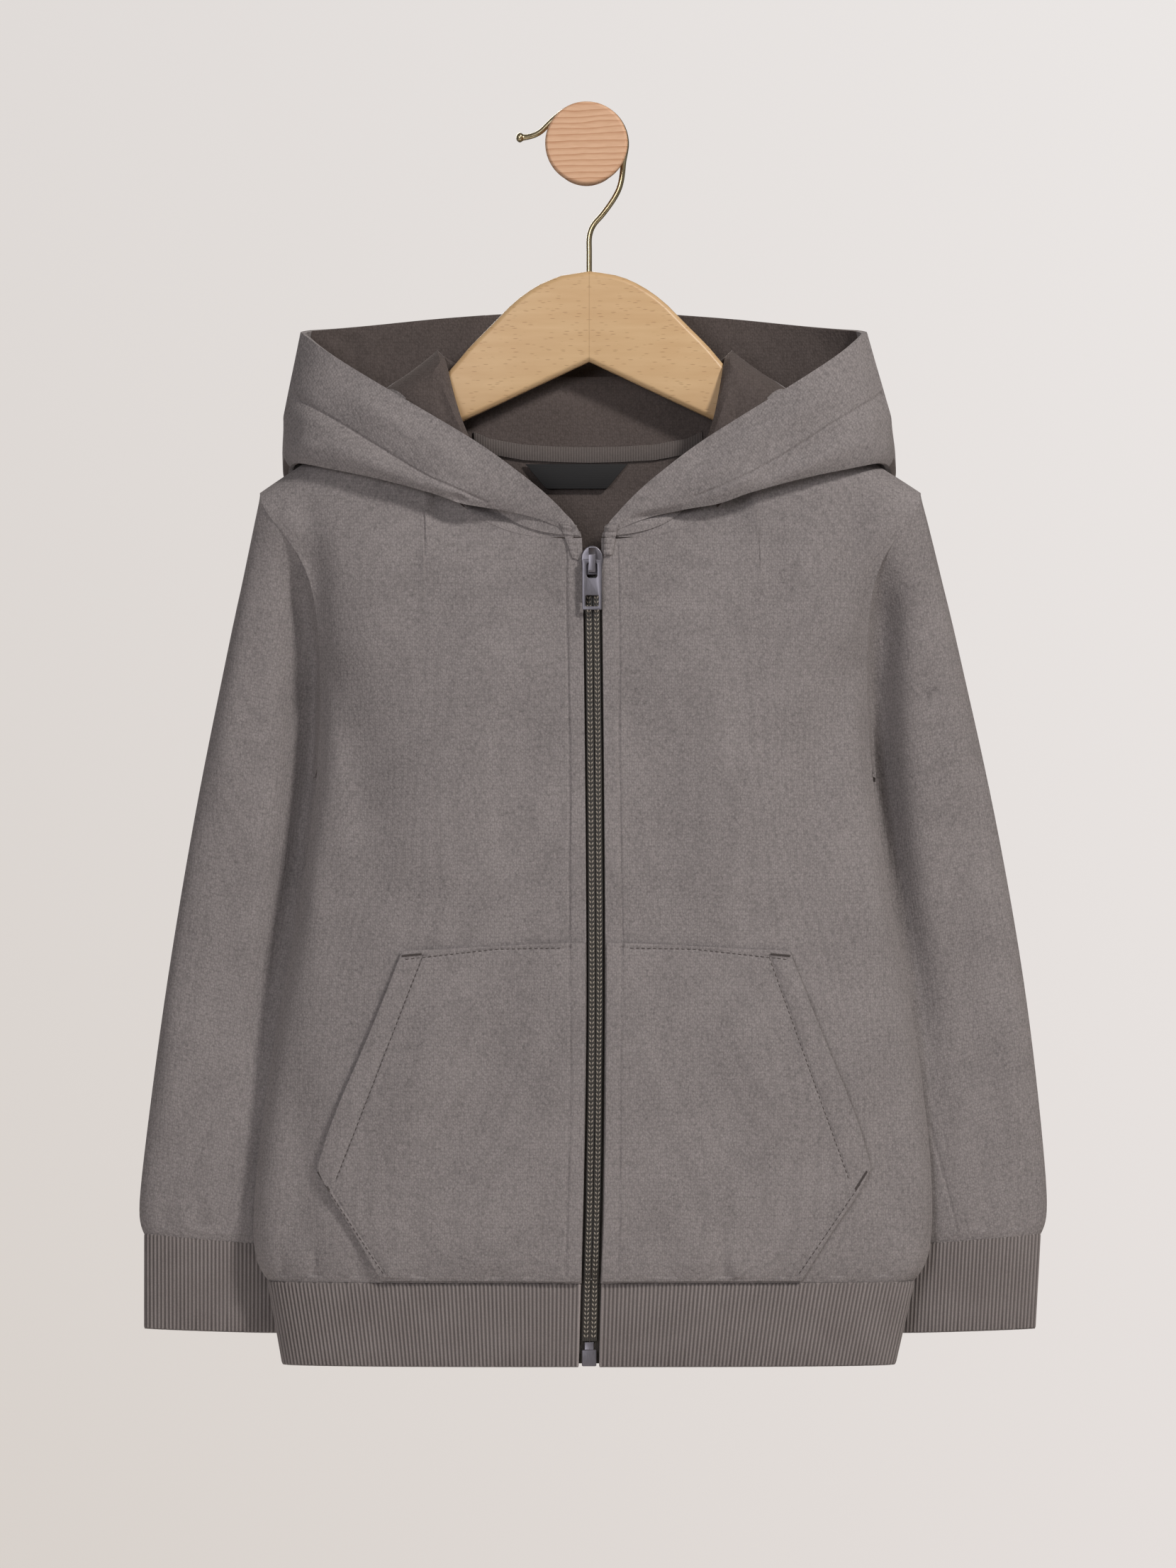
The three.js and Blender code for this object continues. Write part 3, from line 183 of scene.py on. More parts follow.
@dataclass(frozen=True)
class Fleece(Finish):
    """Brushed cotton sweatshirt fleece, circular knitted and dyed a warm grey.

    It gives the eye a matt surface with a fine grain of knitted loops, a soft nap that lightens
    at grazing angles, and a faint cloudiness. lean is the turn of its wales, in degrees.
    """

    lean: float = 0.0
    dark: str = "#646060"
    light: str = "#9a9493"

    def dress(self, tree: bpy.types.NodeTree, shader: bpy.types.Node, place: bpy.types.NodeSocket) -> None:
        """Links the loops, the nap and the cloudiness.

        Args:
            tree: The material's nodes.
            shader: Its Principled BSDF.
            place: Object coordinates.
        """
        wales = add(
            tree,
            "ShaderNodeMapping",
            None,
            {"Vector": place, "Rotation": (0, math.radians(self.lean), 0), "Scale": (1.0, 1.0, 0.72)},
        ).outputs[0]
        # Loops are about 0.8 mm apart. They are drawn at 1.25 mm, which is as fine as shows.
        loops = add(
            tree,
            "ShaderNodeTexVoronoi",
            {"feature": "F1"},
            {"Vector": wales, "Scale": 1 / (1.25 * MM), "Randomness": 0.62},
        ).outputs["Distance"]
        nap, speckle, clouds = (
            add(
                tree,
                "ShaderNodeTexNoise",
                None,
                {"Vector": place, "Scale": 1 / (size * MM), "Detail": detail},
            ).outputs["Fac"]
            for size, detail in ((0.7, 2.0), (2.4, 3.0), (34.0, 3.0))
        )
        tone = -0.1
        for part, share in ((loops, -0.62), (nap, 0.9), (speckle, 0.5), (clouds, 0.36)):
            tone = add(tree, "ShaderNodeMath", MULTIPLY_ADD, {0: part, 1: share, 2: tone}).outputs[0]
        lightness = add(tree, "ShaderNodeClamp", None, {"Value": tone}).outputs[0]
        ends = {0: lightness, 6: linear(self.dark), 7: linear(self.light)}
        colour = add(tree, "ShaderNodeMix", COLOUR, ends).outputs[2]
        shader.inputs["Sheen Weight"].default_value = 0.22
        shader.inputs["Sheen Roughness"].default_value = 0.45
        shader.inputs["Sheen Tint"].default_value = linear("#d9cfca")
        shader.inputs["Specular IOR Level"].default_value = 0.2
        fuzz = add(tree, "ShaderNodeMath", MULTIPLY, {0: nap, 1: 0.55}).outputs[0]
        height = add(tree, "ShaderNodeMath", MULTIPLY_ADD, {0: loops, 1: -0.9, 2: fuzz}).outputs[0]
        self.surface(tree, shader, colour, height, 0.35, 0.55)


@dataclass(frozen=True)
class RibKnit(Finish):
    """Cotton rib knit with a little elastane, from the same dye.

    Its ribs are in the mesh. It gives the eye a matt, slightly darker surface with small loops
    along each rib, with painted shade in the hollows between the ribs.
    """

    dark: str = "#7b7371"
    light: str = "#a39c9a"
    # Painted shade for the hollows between the ribs.
    valley_shade: str = "#2f2b29"

    def dress(self, tree: bpy.types.NodeTree, shader: bpy.types.Node, place: bpy.types.NodeSocket) -> None:
        """Links the loops, the cloudiness and the painted shade between the ribs.

        Args:
            tree: The material's nodes.
            shader: Its Principled BSDF.
            place: Object coordinates.
        """
        rows = {"Vector": place, "Scale": (1.0, 1.0, 1.3)}
        stitches = add(tree, "ShaderNodeMapping", None, rows).outputs[0]
        loops = add(
            tree,
            "ShaderNodeTexVoronoi",
            {"feature": "F1"},
            {"Vector": stitches, "Scale": 1 / (1.1 * MM), "Randomness": 0.5},
        ).outputs["Distance"]
        blotches = {"Vector": place, "Scale": 1 / (22.0 * MM), "Detail": 3.0}
        clouds = add(tree, "ShaderNodeTexNoise", None, blotches).outputs["Fac"]
        tone = 0.42
        for part, share in ((clouds, 0.5), (loops, -0.5)):
            tone = add(tree, "ShaderNodeMath", MULTIPLY_ADD, {0: part, 1: share, 2: tone}).outputs[0]
        lightness = add(tree, "ShaderNodeClamp", None, {"Value": tone}).outputs[0]
        ends = {0: lightness, 6: linear(self.dark), 7: linear(self.light)}
        knit = add(tree, "ShaderNodeMix", COLOUR, ends).outputs[2]
        # Painted shade: the hollows between the ribs are darkened towards a near black.
        valley_shade = add(tree, "ShaderNodeAttribute", {"attribute_name": "valley_shade"}).outputs["Fac"]
        deep = add(tree, "ShaderNodeMath", MULTIPLY, {0: valley_shade, 1: 0.75}).outputs[0]
        shaded = {0: deep, 6: knit, 7: linear(self.valley_shade)}
        colour = add(tree, "ShaderNodeMix", COLOUR, shaded).outputs[2]
        shader.inputs["Sheen Weight"].default_value = 0.15
        shader.inputs["Specular IOR Level"].default_value = 0.2
        height = add(tree, "ShaderNodeMath", MULTIPLY, {0: loops, 1: -1.0}).outputs[0]
        self.surface(tree, shader, colour, height, 0.25, 0.5)


@dataclass(frozen=True)
class WovenTape(Finish):
    """Narrow woven polyester or cotton tape.

    It gives the eye a close row of slanting twill ribs. pitch is the distance between them in
    millimetres, and lean their slant.
    """

    dark: str = "#2b2825"
    light: str = "#45403b"
    pitch: float = 0.9
    lean: float = 45.0
    sheen: float = 0.05

    def dress(self, tree: bpy.types.NodeTree, shader: bpy.types.Node, place: bpy.types.NodeSocket) -> None:
        """Links the twill ribs.

        Args:
            tree: The material's nodes.
            shader: Its Principled BSDF.
            place: Object coordinates.
        """
        slant = {"Vector": place, "Rotation": (0, math.radians(self.lean), 0)}
        # A wave's bands are a twentieth of its scale apart, times pi.
        ribs = add(
            tree,
            "ShaderNodeTexWave",
            {"bands_direction": "X"},
            {
                "Vector": add(tree, "ShaderNodeMapping", None, slant).outputs[0],
                "Scale": math.pi / 10 / (self.pitch * MM),
                "Distortion": 0.6,
                "Detail": 2.0,
            },
        ).outputs["Fac"]
        fibres = {"Vector": place, "Scale": 1 / (1.2 * MM), "Detail": 2.0}
        fuzz = add(tree, "ShaderNodeTexNoise", None, fibres).outputs["Fac"]
        tone = -0.1
        for part in (fuzz, ribs):
            tone = add(tree, "ShaderNodeMath", MULTIPLY_ADD, {0: part, 1: 0.6, 2: tone}).outputs[0]
        lightness = add(tree, "ShaderNodeClamp", None, {"Value": tone}).outputs[0]
        ends = {0: lightness, 6: linear(self.dark), 7: linear(self.light)}
        colour = add(tree, "ShaderNodeMix", COLOUR, ends).outputs[2]
        shader.inputs["Sheen Weight"].default_value = self.sheen
        self.surface(tree, shader, colour, ribs, 0.18, 0.7)


@dataclass(frozen=True)
class Thread(Finish):
    """Spun sewing thread.

    It gives the eye a thin, slightly silky line with a fine twist. Its default colour is darker
    than the cloth, partly painted shade of the stitch holes.
    """

    # Darker than the cloth: partly the thread's own colour, partly painted shade of the stitch holes.
    colour: str = "#57504e"
    metallic: float = 0.0

    def dress(self, tree: bpy.types.NodeTree, shader: bpy.types.Node, place: bpy.types.NodeSocket) -> None:
        """Links the twist, and sets how metallic the thread is.

        Args:
            tree: The material's nodes.
            shader: Its Principled BSDF.
            place: Object coordinates.
        """
        plies = {"Vector": place, "Scale": 1 / (0.5 * MM), "Detail": 1.0}
        twist = add(tree, "ShaderNodeTexNoise", None, plies).outputs["Fac"]
        shade = add(tree, "ShaderNodeMath", MULTIPLY, {0: twist, 1: 0.6}).outputs[0]
        ends = {0: shade, 6: linear(self.colour), 7: linear("#1d1a18")}
        colour = add(tree, "ShaderNodeMix", COLOUR, ends).outputs[2]
        shader.inputs["Metallic"].default_value = self.metallic
        self.surface(tree, shader, colour, twist, 0.08, 0.5)


@dataclass(frozen=True)
class PlatedZinc(Finish):
    """Die-cast zinc with a brushed gunmetal plating.

    It gives the eye a dark, cool grey mirror that is softened by fine vertical brush lines.
    """

    dark: str = "#66646b"
    light: str = "#918f96"

    def dress(self, tree: bpy.types.NodeTree, shader: bpy.types.Node, place: bpy.types.NodeSocket) -> None:
        """Links the brush lines.

        Args:
            tree: The material's nodes.
            shader: Its Principled BSDF.
            place: Object coordinates.
        """
        strokes = {"Vector": place, "Scale": (6.0, 6.0, 0.4)}
        brushed = add(tree, "ShaderNodeMapping", None, strokes).outputs[0]
        fine = {"Vector": brushed, "Scale": 1 / MM, "Detail": 3.0}
        lines = add(tree, "ShaderNodeTexNoise", None, fine).outputs["Fac"]
        ends = {0: lines, 6: linear(self.dark), 7: linear(self.light)}
        colour = add(tree, "ShaderNodeMix", COLOUR, ends).outputs[2]
        dull = {0: lines, 1: 0.16, 2: self.roughness - 0.08}
        rough = add(tree, "ShaderNodeMath", MULTIPLY_ADD, dull).outputs[0]
        tree.links.new(rough, shader.inputs["Roughness"])
        shader.inputs["Metallic"].default_value = 1.0
        self.surface(tree, shader, colour, lines, 0.05, 0.25)


@dataclass(frozen=True)
class BrassWire(Finish):
    """Steel wire, drawn and plated a pale champagne brass.

    It gives the eye a satin metal with long, soft highlights and a little tarnish.
    """

    dark: str = "#b3a27c"
    light: str = "#d6c9a6"

    def dress(self, tree: bpy.types.NodeTree, shader: bpy.types.Node, place: bpy.types.NodeSocket) -> None:
        """Links the tarnish and the drawing marks.

        Args:
            tree: The material's nodes.
            shader: Its Principled BSDF.
            place: Object coordinates.
        """
        tarnish, marks = (
            add(
                tree,
                "ShaderNodeTexNoise",
                None,
                {"Vector": place, "Scale": 1 / (size * MM), "Detail": detail},
            ).outputs["Fac"]
            for size, detail in ((9.0, 4.0), (0.6, 2.0))
        )
        ends = {0: tarnish, 6: linear(self.dark), 7: linear(self.light)}
        colour = add(tree, "ShaderNodeMix", COLOUR, ends).outputs[2]
        dull = {0: tarnish, 1: 0.2, 2: self.roughness - 0.1}
        rough = add(tree, "ShaderNodeMath", MULTIPLY_ADD, dull).outputs[0]
        tree.links.new(rough, shader.inputs["Roughness"])
        shader.inputs["Metallic"].default_value = 1.0
        self.surface(tree, shader, colour, marks, 0.03, 0.2)


@dataclass(frozen=True)
class Beech(Finish):
    """Steamed beech, glued from two halves and clear lacquered.

    It gives the eye a warm, even tan with short brown ray flecks that lean down and out from the
    joint in the middle, and a thin satin coat. centre is the joint's place in millimetres.
    """

    centre: float = 1.6
    lean: float = 24.0
    dark: str = "#be976a"
    light: str = "#d6b88c"
    fleck: str = "#8f673c"

    def dress(self, tree: bpy.types.NodeTree, shader: bpy.types.Node, place: bpy.types.NodeSocket) -> None:
        """Links the grain, the flecks and the coat.

        Args:
            tree: The material's nodes.
            shader: Its Principled BSDF.
            place: Object coordinates.
        """
        axes = add(tree, "ShaderNodeSeparateXYZ", None, {"Vector": place}).outputs
        across = {0: axes["X"], 1: self.centre * MM}
        offset = add(tree, "ShaderNodeMath", {"operation": "SUBTRACT"}, across).outputs[0]
        away = add(tree, "ShaderNodeMath", {"operation": "ABSOLUTE"}, {0: offset}).outputs[0]
        halves = {"X": away, "Y": axes["Y"], "Z": axes["Z"]}
        folded = add(tree, "ShaderNodeCombineXYZ", None, halves).outputs[0]
        # A fleck is about 3 mm long and 0.4 mm wide, and has 8 by 1 mm of wood to itself.
        fleck_grain, band_grain = (
            add(
                tree,
                "ShaderNodeMapping",
                None,
                {"Vector": folded, "Rotation": (0, math.radians(-self.lean), 0), "Scale": stretch},
            ).outputs[0]
            for stretch in ((0.125, 0.2, 1.0), (0.12, 0.5, 1.0))
        )
        cells = add(
            tree,
            "ShaderNodeTexVoronoi",
            {"feature": "F1"},
            {"Vector": fleck_grain, "Scale": 1 / (1.05 * MM), "Randomness": 1.0},
        ).outputs["Distance"]
        flecks = add(
            tree,
            "ShaderNodeMapRange",
            {"interpolation_type": "SMOOTHSTEP"},
            {"Value": cells, "From Min": 0.1, "From Max": 0.24, "To Min": 1.0, "To Max": 0.0},
        ).outputs[0]
        bands, clouds = (
            add(
                tree,
                "ShaderNodeTexNoise",
                None,
                {"Vector": grain, "Scale": 1 / (size * MM), "Detail": detail},
            ).outputs["Fac"]
            for grain, size, detail in ((band_grain, 5.5, 4.0), (place, 40.0, 2.0))
        )
        tone = -0.2
        for part, share in ((clouds, 0.5), (bands, 0.9)):
            tone = add(tree, "ShaderNodeMath", MULTIPLY_ADD, {0: part, 1: share, 2: tone}).outputs[0]
        lightness = add(tree, "ShaderNodeClamp", None, {"Value": tone}).outputs[0]
        ends = {0: lightness, 6: linear(self.dark), 7: linear(self.light)}
        plain = add(tree, "ShaderNodeMix", COLOUR, ends).outputs[2]
        brown = add(tree, "ShaderNodeMath", MULTIPLY, {0: flecks, 1: 0.6}).outputs[0]
        flecked = {0: brown, 6: plain, 7: linear(self.fleck)}
        wood = add(tree, "ShaderNodeMix", COLOUR, flecked).outputs[2]
        joint = add(
            tree,
            "ShaderNodeMapRange",
            None,
            {"Value": away, "From Min": 0.0001, "From Max": 0.0004, "To Min": 0.35, "To Max": 0.0},
        ).outputs[0]
        glued = {0: joint, 6: wood, 7: linear(self.fleck)}
        colour = add(tree, "ShaderNodeMix", COLOUR, glued).outputs[2]
        shader.inputs["Coat Weight"].default_value = 0.25
        shader.inputs["Coat Roughness"].default_value = 0.35
        height = add(tree, "ShaderNodeMath", MULTIPLY, {0: flecks, 1: -1.0}).outputs[0]
        self.surface(tree, shader, colour, height, 0.06, 0.4)


@dataclass(frozen=True)
class Larch(Finish):
    """Turned and oiled larch.

    It gives the eye a pinkish tan face with wavy growth rings that lie level, darker on their
    lower side, and a few resin streaks. pitch is the distance between rings in millimetres.
    """

    pitch: float = 3.6
    lean: float = 4.0
    pith: float = 30.0
    dark: str = "#b27e58"
    light: str = "#dbb493"

    def dress(self, tree: bpy.types.NodeTree, shader: bpy.types.Node, place: bpy.types.NodeSocket) -> None:
        """Links the rings and the streaks.

        Args:
            tree: The material's nodes.
            shader: Its Principled BSDF.
            place: Object coordinates.
        """
        down = {"Vector": place, "Location": (0, 0, -self.pith * MM)}
        below = add(tree, "ShaderNodeMapping", None, down).outputs[0]
        wavy, streaked = (
            add(
                tree,
                "ShaderNodeMapping",
                None,
                {"Vector": start, "Rotation": (0, math.radians(self.lean), 0), "Scale": stretch},
            ).outputs[0]
            for start, stretch in ((below, (0.35, 1.0, 1.0)), (place, (0.12, 1.0, 1.0)))
        )
        rings = add(
            tree,
            "ShaderNodeTexWave",
            {"bands_direction": "Z", "wave_profile": "SAW"},
            {
                "Vector": wavy,
                "Scale": math.pi / 10 / (self.pitch * MM),
                "Distortion": 5.0,
                "Detail": 2.5,
                "Detail Scale": 0.7,
                "Detail Roughness": 0.55,
            },
        ).outputs["Fac"]
        fine = {"Vector": streaked, "Scale": 1 / (0.9 * MM), "Detail": 3.0}
        fibres = add(tree, "ShaderNodeTexNoise", None, fine).outputs["Fac"]
        late = add(tree, "ShaderNodeMath", {"operation": "POWER"}, {0: rings, 1: 3.0}).outputs[0]
        tone = 0.6
        for part, share in ((fibres, 0.5), (late, -0.75)):
            tone = add(tree, "ShaderNodeMath", MULTIPLY_ADD, {0: part, 1: share, 2: tone}).outputs[0]
        lightness = add(tree, "ShaderNodeClamp", None, {"Value": tone}).outputs[0]
        ends = {0: lightness, 6: linear(self.dark), 7: linear(self.light)}
        colour = add(tree, "ShaderNodeMix", COLOUR, ends).outputs[2]
        self.surface(tree, shader, colour, fibres, 0.08, 0.35)


@dataclass(frozen=True)
class WovenLabel(Finish):
    """Black woven polyester damask, left blank.

    It gives the eye a dense black with a faint silky cross weave.
    """

    dark: str = "#070708"
    light: str = "#141416"

    def dress(self, tree: bpy.types.NodeTree, shader: bpy.types.Node, place: bpy.types.NodeSocket) -> None:
        """Links the weave.

        Args:
            tree: The material's nodes.
            shader: Its Principled BSDF.
            place: Object coordinates.
        """
        weft = add(
            tree,
            "ShaderNodeTexWave",
            {"bands_direction": "Z"},
            {"Vector": place, "Scale": math.pi / 10 / (0.6 * MM), "Distortion": 0.2},
        ).outputs["Fac"]
        ends = {0: weft, 6: linear(self.dark), 7: linear(self.light)}
        colour = add(tree, "ShaderNodeMix", COLOUR, ends).outputs[2]
        self.surface(tree, shader, colour, weft, 0.06, 0.4)


BODY_FLEECE = Fleece("Brushed cotton fleece", "fleece", 0.95)
# Painted shade: a darker copy of the fleece for inner walls that lie deep inside the hood and the back.
INSIDE_PAINTED_SHADE_FLEECE = Fleece("Brushed cotton fleece, inside, painted shade", "fleece", 0.95, 0.0, "#453e3b", "#625956")
LEFT_SLEEVE_FLEECE = Fleece("Brushed cotton fleece, left sleeve", "fleece", 0.95, lean=-9.0)
RIGHT_SLEEVE_FLEECE = Fleece("Brushed cotton fleece, right sleeve", "fleece", 0.95, lean=9.0)
LEFT_HOOD_FLEECE = Fleece("Brushed cotton fleece, left of hood", "fleece", 0.95, lean=38.0)
RIGHT_HOOD_FLEECE = Fleece("Brushed cotton fleece, right of hood", "fleece", 0.95, lean=-38.0)
RIB = RibKnit("Cotton rib knit", "rib", 0.95)
ZIP_TAPE = WovenTape("Woven zip tape", "zip_tape", 0.85)
ZIP_COIL = WovenTape("Moulded nylon zip teeth", "zip_coil", 0.5, "#191714", "#3a362f", 1.3, 0.0)
NECK_TAPE = WovenTape("Cotton twill neck tape", "neck_tape", 0.92, "#4c4542", "#67605d", 1.5, 0.0, 0.12)
LABEL = WovenLabel("Woven damask label", "label", 0.7)
GUNMETAL = PlatedZinc("Gunmetal plated zinc", "gunmetal", 0.42)
BEECH = Beech("Lacquered beech", "beech", 0.5)
HOOK_WIRE = BrassWire("Champagne brass plated wire", "hook_wire", 0.28)
LARCH = Larch("Oiled larch", "larch", 0.6)
SEWING = Thread("Spun polyester thread", "fleece", 0.75)
GLITTER = Thread("Metallic zip thread", "zip_coil", 0.5, "#b8afa2", 0.15)


class Ground:
    """The outside of the CAD model, on which lines in the plane of the garment are laid."""

    def __init__(self, names: list[str]) -> None:
        """Takes the surfaces of the named nodes.

        Args:
            names: The nodes.
        """
        corners: list[Vector] = []
        faces: list[list[int]] = []
        for name in names:
            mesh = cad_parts[name].data
            first = len(corners)
            corners += [v.co.copy() for v in mesh.vertices]
            faces += [[first + v for v in p.vertices] for p in mesh.polygons]
        self.tree = BVHTree.FromPolygons(corners, faces)

    def depth(self, x: float, z: float, face: Face) -> float | None:
        """Finds the surface at a place.

        Args:
            x: Across, in metres.
            z: Height, in metres.
            face: The side from which it is seen.

        Returns:
            Its depth in metres, or None where there is nothing.
        """
        hit = self.tree.ray_cast(Vector((x, face.value, z)), Vector((0, -face.value, 0)))[0]
        return None if hit is None else hit.y


def resampled(points: np.ndarray, count: int) -> np.ndarray:
    """Spaces points evenly along a line.

    Args:
        points: The line's corners, one row each.
        count: How many points it gets.

    Returns:
        The new points.
    """
    steps = np.linalg.norm(np.diff(points, axis=0), axis=1)
    gone = np.concatenate([[0.0], np.cumsum(steps)])
    at = np.linspace(0.0, gone[-1], count)
    return np.stack([np.interp(at, gone, points[:, k]) for k in range(points.shape[1])], axis=1)


@dataclass(frozen=True)
class Crease:
    """A soft trough or ridge along a line on the cloth. Sizes are in millimetres.

    points are across and height. rise is above 0 for a ridge. width is from its middle to where
    it is a third as deep, and skew makes one of its slopes longer. bow is how far the middle of
    a line of two points is set sideways. fade is the share of the length over which each end
    runs out. reach is how far in depth it is felt. cuts is how often the cloth's faces are
    halved beside it, for a narrow one.
    """

    points: tuple[Point, ...]
    rise: float
    width: float
    skew: float = 0.0
    bow: float = 0.0
    fade: tuple[float, float] = (0.35, 0.35)
    face: Face = Face.FRONT
    reach: float = 40.0
    cuts: int = 0

    def path(self) -> np.ndarray:
        """Gives the line as points in metres, one row of across and height each."""
        points = np.array(self.points, float)
        length = np.linalg.norm(np.diff(points, axis=0), axis=1).sum()
        count = int(np.clip(length / 5, 8, 90))
        line = resampled(points, count)
        if self.bow:
            along = points[-1] - points[0]
            aside = np.array([-along[1], along[0]]) / np.linalg.norm(along)
            share = np.linspace(0, 1, count)
            line = line + np.outer(4 * share * (1 - share) * self.bow, aside)
        return line * MM

    def depths(self, ground: Ground, path: np.ndarray) -> np.ndarray:
        """Lays the line on the cloth.

        Args:
            ground: The surfaces.
            path: The line.

        Returns:
            The depth at each of its points.
        """
        found = [ground.depth(x, z, self.face) for x, z in path]
        known = [i for i, y in enumerate(found) if y is not None]
        if not known:
            return np.zeros(len(path))
        return np.interp(range(len(path)), known, [found[i] for i in known])

    def near(self, places: np.ndarray, ground: Ground, limit: float) -> tuple[np.ndarray, ...]:
        """Measures places against the line.

        Args:
            places: The places, one row of x, y and z each, in metres.
            ground: The surfaces.
            limit: How far away still counts, in metres.

        Returns:
            The numbers of the places within the limit, and for each the distance, with a sign
            for its side, the share of the length and the depth behind the line.
        """
        path = self.path()
        low, high = path.min(axis=0) - limit, path.max(axis=0) + limit
        flat = places[:, [0, 2]]
        picked = np.nonzero(((flat > low) & (flat < high)).all(axis=1))[0]
        nothing = np.empty(0)
        if not len(picked):
            return picked, nothing, nothing, nothing
        flat = flat[picked]
        start, step = path[:-1], np.diff(path, axis=0)
        length2 = (step**2).sum(axis=1)
        offset = flat[:, None, :] - start[None]
        share = np.clip((offset * step).sum(axis=2) / length2, 0, 1)
        gap = offset - share[..., None] * step
        distance = np.linalg.norm(gap, axis=2)
        best = distance.argmin(axis=1)
        row = np.arange(len(flat))
        side = np.sign(step[best, 0] * gap[row, best, 1] - step[best, 1] * gap[row, best, 0])
        along = (best + share[row, best]) / len(step)
        depth = np.interp(along * len(step), range(len(path)), self.depths(ground, path))
        return picked, distance[row, best] * side, along, places[picked, 1] - depth

    def shift(self, places: np.ndarray, ground: Ground) -> np.ndarray:
        """Works out how far the crease moves each place in depth.

        Args:
            places: The places, one row each, in metres.
            ground: The surfaces.

        Returns:
            The move along the depth axis, in metres.
        """
        moved = np.zeros(len(places))
        found, aside, along, behind = self.near(places, ground, 2.6 * self.width * MM)
        if not len(found):
            return moved
        width = self.width * MM * (1 + self.skew * np.sign(aside))
        ends = [np.clip(s / max(f, 1e-6), 0, 1) for s, f in zip((along, 1 - along), self.fade)]
        ends = [s * s * (3 - 2 * s) for s in ends]
        felt = np.exp(-((aside / width) ** 2)) * np.exp(-((behind / (self.reach * MM)) ** 2))
        moved[found] = self.face.value * self.rise * MM * felt * ends[0] * ends[1]
        return moved


def copy_of(node: str) -> bmesh.types.BMesh:
    """Takes a copy of a CAD node's mesh, merged and with its triangles joined.

    Args:
        node: The node's name.

    Returns:
        The copy.
    """
    bm = bmesh.new()
    bm.from_mesh(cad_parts[node].data)
    bmesh.ops.remove_doubles(bm, verts=bm.verts, dist=2e-6)
    bmesh.ops.join_triangles(
        bm,
        faces=bm.faces,
        cmp_seam=False,
        cmp_sharp=False,
        cmp_uvs=False,
        cmp_vcols=False,
        cmp_materials=False,
        angle_face_threshold=math.radians(60),
        angle_shape_threshold=math.radians(180),
        topology_influence=1.5,
    )
    return bm


def sharp_edges(bm: bmesh.types.BMesh, degrees: float) -> list[bmesh.types.BMEdge]:
    """Finds the edges whose faces meet at more than an angle.

    Args:
        bm: The mesh.
        degrees: The angle.

    Returns:
        The edges.
    """
    limit = math.radians(degrees)
    return [e for e in bm.edges if len(e.link_faces) == 2 and e.calc_face_angle(0) > limit]


def rounded(bm: bmesh.types.BMesh, degrees: float, offset: float, segments: int = 2) -> None:
    """Rounds a mesh's sharp edges.

    Args:
        bm: The mesh.
        degrees: The angle above which an edge is sharp.
        offset: The width of the rounding, in millimetres.
        segments: Its number of faces.
    """
    bmesh.ops.bevel(
        bm,
        geom=sharp_edges(bm, degrees),
        offset=offset * MM,
        offset_type="OFFSET",
        affect="EDGES",
        segments=segments,
        profile=0.5,
        material=-1,
        clamp_overlap=True,
    )


def cut_edge_faces(bm: bmesh.types.BMesh) -> list[bmesh.types.BMFace]:
    """Finds the narrow faces round the cut edges of thin cloth.

    Args:
        bm: The cloth, before it is rounded.

    Returns:
        The faces.
    """
    sharp = set(sharp_edges(bm, 40.0))
    found = []
    for face in bm.faces:
        edges = [e for e in face.edges if e in sharp]
        narrow = min(e.calc_length() for e in face.edges) < 3.4 * MM
        apart = any(not set(a.verts) & set(b.verts) for a in edges for b in edges)
        if narrow and apart:
            found.append(face)
    return found


def lapped(bm: bmesh.types.BMesh, by: float) -> None:
    """Lets cloth reach out at its cut edges, so that it meets the piece that it is sewn to.

    Args:
        bm: The cloth, before it is rounded.
        by: How far it reaches out, in millimetres.
    """
    moves: dict[bmesh.types.BMVert, Vector] = {}
    for face in cut_edge_faces(bm):
        for vert in face.verts:
            moves[vert] = moves.get(vert, Vector()) + face.normal
    for vert, way in moves.items():
        vert.co += way.normalized() * by * MM


def shade_deep_inside(bm: bmesh.types.BMesh, behind: tuple[Point, ...], above: float) -> None:
    """Gives the second material to the inside: what looks forward from behind a depth.

    Args:
        bm: The cloth, before it is rounded.
        behind: Distances from the middle with the depth for each, in millimetres.
        above: The height below which nothing changes, in millimetres.
    """
    # The darker second material is painted shade on what lies deep inside.
    away, depths = zip(*behind)
    for face in bm.faces:
        place = face.calc_center_median() / MM
        if face.normal.y < 0 and place.z > above and place.y > np.interp(abs(place.x), away, depths):
            face.material_index = 1


def subdivided(bm: bmesh.types.BMesh, levels: int) -> bmesh.types.BMesh:
    """Smooths a mesh with a subdivision surface.

    Args:
        bm: The mesh, which is freed.
        levels: How often each face is halved.

    Returns:
        The finer mesh.
    """
    mesh = bpy.data.meshes.new("subdivided")
    bm.to_mesh(mesh)
    bm.free()
    holder = bpy.data.objects.new("subdivided", mesh)
    bpy.context.scene.collection.objects.link(holder)
    modifier = holder.modifiers.new("Smooth", "SUBSURF")
    modifier.levels = modifier.render_levels = levels
    graph = bpy.context.evaluated_depsgraph_get()
    finer = bmesh.new()
    finer.from_mesh(bpy.data.meshes.new_from_object(holder.evaluated_get(graph), depsgraph=graph))
    bpy.data.objects.remove(holder)
    return finer


